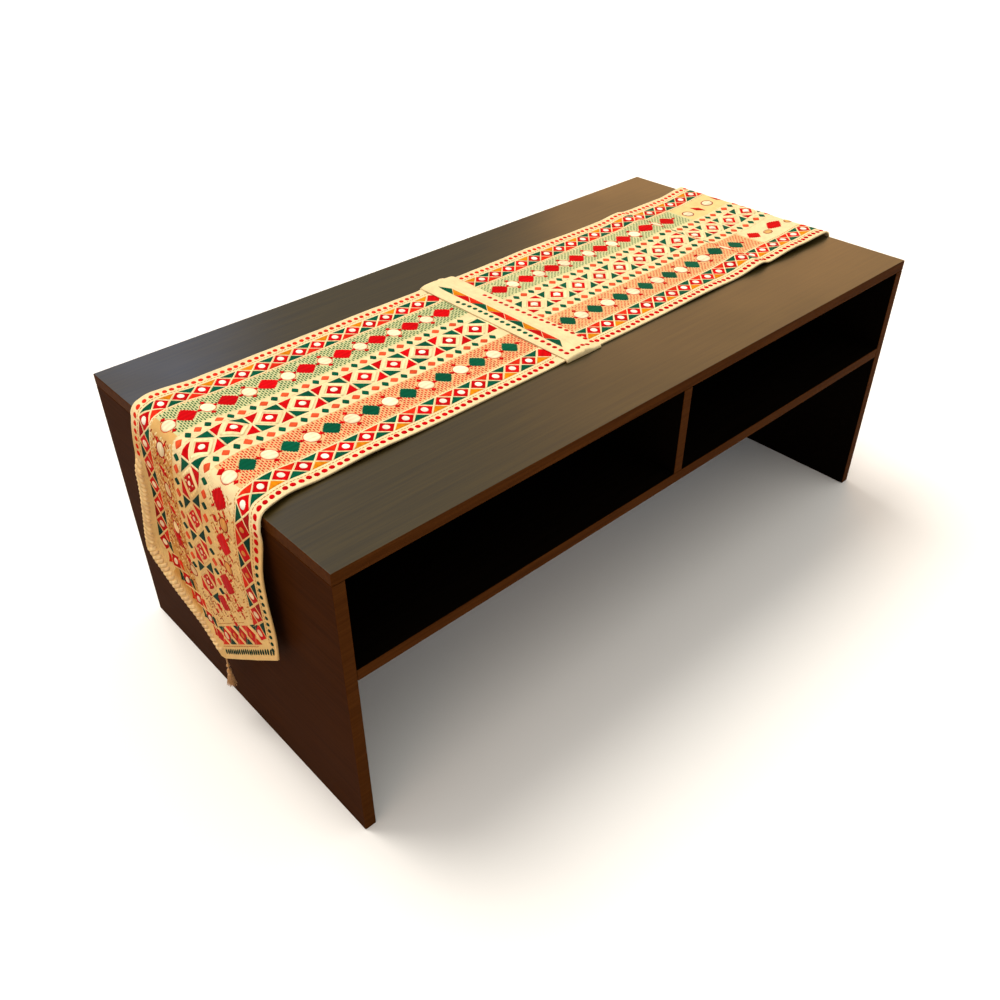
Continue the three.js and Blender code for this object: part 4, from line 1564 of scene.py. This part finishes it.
@dataclass
class CrossBand:
    """The strip sewn across the runner's middle, its near edge turned over."""

    drape: Drape
    near_x: float = -80
    width: float = 72
    thick: float = 1.8
    edge_thick: float = 0.9
    edge_slope: float = 4
    overhang: float = 4.5
    lift: float = 0.4
    wrap_gap: float = 0.4
    turned_from: float = 35
    turned_rise: float = 4
    turned_crest: float = 45
    turned_to: float = 58
    turned_high_back: float = 2.8
    turned_high_front: float = 2.2
    lump_high: float = 3
    lump_across: float = 154
    lump_spread: float = 13
    lump_slope: float = 9
    across_step: float = 1.2
    along_step: float = 2.6
    wrap_step: float = 0.7
    face: Object | None = None
    strip: Object | None = None

    @property
    def flat_size(self) -> tuple[float, float]:
        """Width and length that the strip was cut to, in metres."""
        return self.width * MM, (self.drape.width + 2 * self.overhang) * MM

    def thickness(self, u: np.ndarray, v: np.ndarray) -> np.ndarray:
        """Height of the band above its underside, at u across it and v along it."""
        from_side = np.minimum(u, self.width - u)
        slope = smooth(from_side / self.edge_slope)
        body = self.edge_thick + (self.thick - self.edge_thick) * slope
        back_share = smooth((v + self.drape.half_width) / self.drape.width)
        high = self.turned_high_front
        high = high + (self.turned_high_back - self.turned_high_front) * back_share
        rise = smooth((u - self.turned_from) / self.turned_rise)
        fall = smooth((self.turned_to - u) / (self.turned_to - self.turned_crest))
        from_lump = (v - self.lump_across) / self.lump_spread
        lump = self.lump_high * np.exp(-(from_lump**2)) * smooth(from_side / self.lump_slope)
        return body + np.maximum(high * rise * fall, lump)

    def build(self) -> None:
        """Makes the band as a closed sheet over the runner, and its face alone."""
        drape = self.drape
        outer = drape.half_width + self.overhang
        wrap = drape.half_width + self.wrap_gap
        along = joined(steps(-outer, -wrap, self.wrap_step), steps(-wrap, wrap, self.along_step),
                       steps(wrap, outer, self.wrap_step))
        u, v = np.meshgrid(steps(0, self.width, self.across_step), along, indexing="ij")
        inside = np.clip(v, -wrap, wrap)
        rest = drape.lift(self.near_x + u, inside) + drape.hem_thick + self.lift
        low_under = 2 * drape.joint_gap
        under = np.where(np.abs(v) > wrap, low_under, rest)
        low = low_under + self.edge_thick
        over = np.maximum(0, np.abs(v) - wrap) / (outer - wrap)
        high = rest + self.thickness(u, inside)
        face = low + (high - low) * np.sqrt(np.maximum(0, 1 - over**2))
        grids = [np.stack([self.near_x + u, drape.middle_y + v, drape.table_height + z], -1) * MM
                 for z in (face, under)]
        hem = smooth((2.0 - np.minimum(u, self.width - u)) / 2)
        self.strip, self.face = sheet_pair(
            "cross_band_strip", *grids, np.stack([u, v], -1) * MM, hem,
            ClothFinish("cotton_band", band_inner=1.0))


@dataclass
class Tassel:
    """A small tassel at a tip of the runner: its tie, knot, bound head and loose strands."""

    name: str
    tip: np.ndarray
    tie_radius: float = 1.1
    tie_length: float = 12
    knot_radius: float = 2.9
    head_radius: float = 3.6
    head_top: float = 22
    head_end: float = 34
    twist: float = 0.35
    strand_count: int = 46
    strand_length: float = 24
    strand_radius: float = 0.42
    strand_points: int = 12
    spread: float = 1.7
    waviness: float = 5.0
    seed: int = 5
    sides: int = 16
    piece: Object | None = None

    def profile(self) -> list[tuple[float, float]]:
        """Radius and depth down the tie, knot and bound head."""
        rows = [(0.0, 0.0)]
        for depth in np.arange(0, self.tie_length + 0.1, 1.0):
            rows.append((self.tie_radius + 0.18 * math.sin(depth * 2.6), float(depth)))
        knot = self.tie_length + self.knot_radius
        for angle in np.linspace(-1.2, 1.2, 9):
            rows.append((self.knot_radius * math.cos(angle) + 0.2 * math.sin(angle * 9),
                         knot + self.knot_radius * math.sin(angle)))
        rows.append((self.tie_radius, self.head_top))
        for depth in np.arange(self.head_top + 1.2, self.head_end + 0.1, 0.6):
            share = (depth - self.head_top) / (self.head_end - self.head_top)
            belly = self.head_radius * (0.8 + 0.2 * math.sin(math.pi * min(1.0, share * 1.2)))
            bound = 0.3 * abs(math.sin((depth - self.head_top) * math.pi / 1.2))
            rows.append((belly + bound, float(depth)))
        return [*rows, (0.0, self.head_end)]

    def head(self, material: Material) -> Object:
        """Turns the profile about the tassel's own axis, from its foot up."""
        around = np.arange(self.sides) * FULL_TURN / self.sides
        rings = [np.stack([radius * np.cos(around + depth * self.twist),
                           radius * np.sin(around + depth * self.twist),
                           np.full(self.sides, -depth)], -1)
                 for radius, depth in self.profile()[::-1]]
        mesh = loft("tassel_head", np.array(rings) + self.tip / MM)
        mesh.materials.append(material)
        return new_object("tassel_head", mesh)

    def strand_tree(self) -> NodeTree:
        """Builds the node tree that hangs the strands, once for both tassels.

        Returns:
            The tree.
        """
        name = "hang_tassel_strands"
        if name in bpy.data.node_groups:
            return bpy.data.node_groups[name]
        tree, known = geometry_tree(name, {
            "Count": "Int", "Root radius": "Float", "Length": "Float", "Spread": "Float",
            "Strand radius": "Float", "Waviness": "Float", "Tip": "Vector", "Seed": "Int",
            "Yarn": "Material"})
        node = partial(add_node, tree)
        place = node("GeometryNodeInputPosition")
        known |= {
            "index": node("GeometryNodeInputIndex"),
            "z": node("ShaderNodeSeparateXYZ", {0: place}, "Z"),
            "uneven": node("FunctionNodeRandomValue", {2: 0.86, 3: 1.04, "Seed": known["Seed"]},
                           data_type="FLOAT"),
        }
        for label, operation, first, second in (
            ("part", "DIVIDE", "index", "Count"), ("share", "SQRT", "part", 0.0),
            ("radius", "MULTIPLY", "share", "Root radius"),
            ("angle", "MULTIPLY", "index", GOLDEN_ANGLE),
            ("cosine", "COSINE", "angle", 0.0), ("sine", "SINE", "angle", 0.0),
            ("x", "MULTIPLY", "radius", "cosine"), ("y", "MULTIPLY", "radius", "sine"),
            ("long", "MULTIPLY", "uneven", "Length"), ("fall", "MULTIPLY", "z", -1.0),
            ("down", "DIVIDE", "fall", "Length"), ("opening", "POWER", "down", 0.7),
            ("opened", "MULTIPLY", "opening", "Spread"),
            ("wave", "MULTIPLY", "down", "Waviness"),
        ):
            known[label] = node("ShaderNodeMath", {
                0: known[first], 1: known.get(second, second)}, operation=operation)
        root = node("ShaderNodeCombineXYZ", {"X": known["x"], "Y": known["y"]})
        roots = node("GeometryNodePoints", {"Count": known["Count"], "Position": root})
        line = node("GeometryNodeCurvePrimitiveLine", {"End": (0, 0, -1)})
        fine = node("GeometryNodeResampleCurve", {"Curve": line, "Count": self.strand_points})
        size = node("ShaderNodeCombineXYZ", {"X": 1.0, "Y": 1.0, "Z": known["long"]})
        hung = node("GeometryNodeInstanceOnPoints", {
            "Points": roots, "Instance": fine, "Scale": size})
        strands = node("GeometryNodeRealizeInstances", {"Geometry": hung})
        outwards = node("ShaderNodeVectorMath", {0: place, 1: (1, 1, 0)}, operation="MULTIPLY")
        flare = node("ShaderNodeVectorMath", {0: outwards, "Scale": known["opened"]},
                     operation="SCALE")
        stray = node("ShaderNodeTexNoise", {
            "Vector": place, "W": known["Seed"], "Scale": 90.0}, "Color", noise_dimensions="4D")
        centred = node("ShaderNodeVectorMath", {0: stray, 1: (0.5, 0.5, 0.5)},
                       operation="SUBTRACT")
        wavy = node("ShaderNodeVectorMath", {0: centred, "Scale": known["wave"]},
                    operation="SCALE")
        both = node("ShaderNodeVectorMath", {0: flare, 1: wavy}, operation="ADD")
        bent = node("GeometryNodeSetPosition", {"Geometry": strands, "Offset": both})
        section = node("GeometryNodeCurvePrimitiveCircle", {
            "Resolution": 6, "Radius": known["Strand radius"]})
        round_yarn = node("GeometryNodeCurveToMesh", {
            "Curve": bent, "Profile Curve": section, "Fill Caps": True})
        moved = node("GeometryNodeSetPosition", {"Geometry": round_yarn, "Offset": known["Tip"]})
        return end_tree(tree, moved, known["Yarn"])

    def build(self, material: Material) -> None:
        """Makes the tassel as one piece: its head, and loose strands hung from inside it."""
        carrier = new_object("strand_roots", bpy.data.meshes.new("strand_roots"))
        strands = run_tree("tassel_strands", carrier, self.strand_tree(), {
            "Count": self.strand_count, "Root radius": (self.head_radius - 0.8) * MM,
            "Length": self.strand_length * MM, "Spread": self.spread,
            "Strand radius": self.strand_radius * MM, "Waviness": self.waviness * MM,
            "Tip": Vector(self.tip) - Vector((0, 0, (self.head_end - 2) * MM)),
            "Seed": self.seed, "Yarn": material})
        self.piece = join_as(self.name, [self.head(material), strands])


class Laminate(Enum):
    """Laminates of the table: name, dark and light of the grain, its axis, and its gloss."""

    TOP = LaminateFinish("wenge_laminate_top", "29210b", "3a2f0f", 0, 1.4)
    END = LaminateFinish("wenge_laminate_end", "2f1606", "3b1d08", 1, 1.02)
    EDGE = LaminateFinish("wenge_edge_band", "3c1e08", "4d2a0e", 0, 1.03)
    # Near black: painted shade for the dark inside of the table, whose boards are the same wenge
    # laminate.
    INSIDE = LaminateFinish("laminate_inside", "060402", "0c0704", 0, 1.03)


@dataclass(frozen=True)
class BoardFinish:
    """How a board is finished: its slot, its two broad faces, and which way the outer looks."""

    slot: str
    outer: Laminate
    outwards: Spot3
    inner: Laminate = Laminate.INSIDE

    def laminate(self, normal: Vector) -> Laminate:
        """The laminate of a face that looks along a normal."""
        facing = normal.dot(Vector(self.outwards))
        if facing > 0.75:
            return self.outer
        # Faces that look inwards get the inner laminate, by default the painted shade one.
        return self.inner if facing < -0.75 else Laminate.EDGE


BOARDS = {
    "table_top": BoardFinish("table_top_laminate", Laminate.TOP, (0, 0, 1)),
    "table_end_near": BoardFinish("table_laminate", Laminate.END, (-1, 0, 0)),
    "table_end_far": BoardFinish("table_laminate", Laminate.END, (1, 0, 0)),
    # The shelf and divider stand inside the table, so their broad faces also take the painted shade
    # laminate.
    "table_shelf": BoardFinish("table_laminate", Laminate.INSIDE, (0, 0, 1)),
    "table_divider": BoardFinish("table_laminate", Laminate.INSIDE, (1, 0, 0)),
    "table_back": BoardFinish("table_inside", Laminate.END, (0, 1, 0)),
}


@dataclass
class CoffeeTable:
    """The plain table: laminated boards with softly broken edges, each on its own node."""

    edge_mm: float = 1.2
    edge_segments: int = 3
    pieces: dict[str, Object] = field(default_factory=dict)

    def board(self, node: str, finish: BoardFinish) -> Object:
        """Makes one board in its node's box, its edges rounded.

        Args:
            node: the board's node.
            finish: its finish.

        Returns:
            The board.
        """
        low, high = (Vector(corner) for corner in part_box(node))
        work = bmesh.new()
        place = Matrix.Translation((low + high) / 2) @ Matrix.Diagonal((*(high - low), 1.0))
        bmesh.ops.create_cube(work, size=1.0, matrix=place)
        bmesh.ops.bevel(work, geom=work.edges[:], offset=self.edge_mm * MM,
                        segments=self.edge_segments, profile=0.5, affect="EDGES")
        mesh = bpy.data.meshes.new(node)
        work.to_mesh(mesh)
        work.free()
        mesh.shade_smooth()
        used = [finish.laminate(face.normal) for face in mesh.polygons]
        kinds = sorted(set(used), key=lambda kind: kind.name)
        for kind in kinds:
            mesh.materials.append(kind.value.material())
        for face, kind in zip(mesh.polygons, used):
            face.material_index = kinds.index(kind)
        return new_object(f"{node}_board", mesh)

    def build(self) -> None:
        """Makes every board, hangs it from the root body and hides the node that it stands in for.
        """
        for node, finish in BOARDS.items():
            made = self.board(node, finish)
            made.modifiers.new("even_faces", "WEIGHTED_NORMAL").keep_sharp = True
            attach(made, "root")
            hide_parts(node)
            self.pieces[node] = made


@dataclass(frozen=True)
class Lamp:
    """One light: its place, what it faces, its size or softness, its power and its colour."""

    name: str
    at: Spot3
    towards: Spot3
    size: float
    power: float
    colour: str
    kind: str = "AREA"

    def build(self) -> None:
        """Hangs the light."""
        data = bpy.data.lights.new(self.name, self.kind)
        setattr(data, "angle" if self.kind == "SUN" else "size", self.size)
        data.energy = self.power
        data.color = linear(self.colour)[:3]
        lamp = bpy.data.objects.new(self.name, data)
        bpy.context.scene.collection.objects.link(lamp)
        lamp.location = self.at
        aim = Vector(self.towards) - Vector(self.at)
        lamp.rotation_euler = aim.to_track_quat("-Z", "Y").to_euler()


@dataclass
class Studio:
    """Plain pale floor, soft light and the camera at the photograph's angle."""

    camera_at: Spot3 = (-0.9998, -0.9987, 1.1592)
    right: Spot3 = (0.7514, -0.6595, -0.0217)
    down: Spot3 = (-0.4119, -0.4431, -0.7962)
    forward: Spot3 = (0.5155, 0.6072, -0.6046)
    lens_mm: float = 34.99
    shift: tuple[float, float] = (0.0354, 0.0024)
    floor_size: float = 24.0
    wall_glow: float = 0.12
    ceiling_glow: float = 1.15
    lamps: tuple[Lamp, ...] = (
        Lamp("light_from_behind", (-0.2, 0.75, 1.7), (0, 0, 0), 0.5, 2.1, "fff8ee", "SUN"),
        Lamp("blue_window", (0.3, 2.5, 1.75), (-0.5, 0.2, 0.46), 0.7, 3.6, "a9c9ff"),
        Lamp("warm_wall", (3.4, 1.7, 1.8), (0.3, 0, 0.46), 2.4, 36, "ffb765"),
        Lamp("warm_near_end", (-2.6, -0.8, 1.0), (-0.6, 0, 0.3), 1.4, 5, "ffa860"),
    )

    def camera(self) -> None:
        """Sets the camera that the scene is seen through."""
        data = bpy.data.cameras.new("camera")
        data.lens = self.lens_mm
        data.sensor_width = 36.0
        data.shift_x, data.shift_y = self.shift
        data.clip_end = 100.0
        camera = bpy.data.objects.new("camera", data)
        bpy.context.scene.collection.objects.link(camera)
        axes = Matrix((self.right, [-x for x in self.down], [-x for x in self.forward]))
        place = axes.transposed().to_4x4()
        place.translation = Vector(self.camera_at)
        camera.matrix_world = place
        bpy.context.scene.camera = camera

    def floor(self) -> None:
        """Lays the pale floor under the table."""
        half = self.floor_size / 2
        mesh = bpy.data.meshes.new("floor")
        corners = [(-half, -half, 0), (half, -half, 0), (half, half, 0), (-half, half, 0)]
        mesh.from_pydata(corners, [], [(0, 1, 2, 3)])
        mesh.materials.append(FloorFinish().material())
        new_object("floor", mesh)

    def world(self) -> None:
        """Lights the room evenly: dim walls under a bright ceiling."""
        world = bpy.data.worlds.new("studio")
        bpy.context.scene.world = world
        world.use_nodes = True
        tree = world.node_tree
        looking = add_node(tree, "ShaderNodeTexCoord", out="Generated")
        height = add_node(tree, "ShaderNodeSeparateXYZ", {0: looking}, "Z")
        glow = add_node(tree, "ShaderNodeMapRange", {
            "Value": height, "From Min": 0.1, "From Max": 0.95,
            "To Min": self.wall_glow, "To Max": self.ceiling_glow,
        }, interpolation_type="SMOOTHSTEP")
        feed(tree.nodes["Background"], {"Color": linear("fffcf5"), "Strength": glow})

    def build(self) -> None:
        """Sets up the world, floor, lights and camera."""
        bpy.context.scene.view_settings.view_transform = "Standard"
        self.world()
        self.floor()
        for lamp in self.lamps:
            lamp.build()
        self.camera()


def main() -> None:
    """Builds the studio, the table, the runner and what is sewn to it."""
    logging.basicConfig(level=logging.INFO, format="%(message)s")
    Studio().build()
    table = CoffeeTable()
    table.build()
    drape = Drape()
    cloth = RunnerCloth(drape)
    cloth.build()
    stitches = RunnerEmbroidery(cloth.face, drape=drape)
    stitches.build()
    band = CrossBand(drape)
    band.build()
    band_stitches = BandEmbroidery(band.face)
    band_stitches.build()
    tassels = []
    for name, side in (("tassel_near", -1), ("tassel_far", 1)):
        tip = drape.points(np.array(side * drape.half_length), np.array(0.0), 0.5)
        tassel = Tassel(f"{name}_yarn", tip - np.array([0, 0, drape.joint_gap * MM]))
        tassel.build(YarnFinish().material())
        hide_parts(name)
        tassels.append(tassel.piece)
    for helper in (cloth.face, band.face):
        bpy.data.objects.remove(helper)
    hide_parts("runner_cloth")
    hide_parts("cross_band")
    sewn = [band.strip, band_stitches.piece, *stitches.pieces]
    for piece in (cloth.sheet, *sewn, *tassels):
        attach(piece, "root")
    top = table.pieces["table_top"]
    for piece in (*table.pieces.values(), cloth.sheet, *sewn, *tassels):
        LOG.info("%s: %d faces", piece.name, len(piece.data.polygons))


if __name__ == "__main__":
    main()
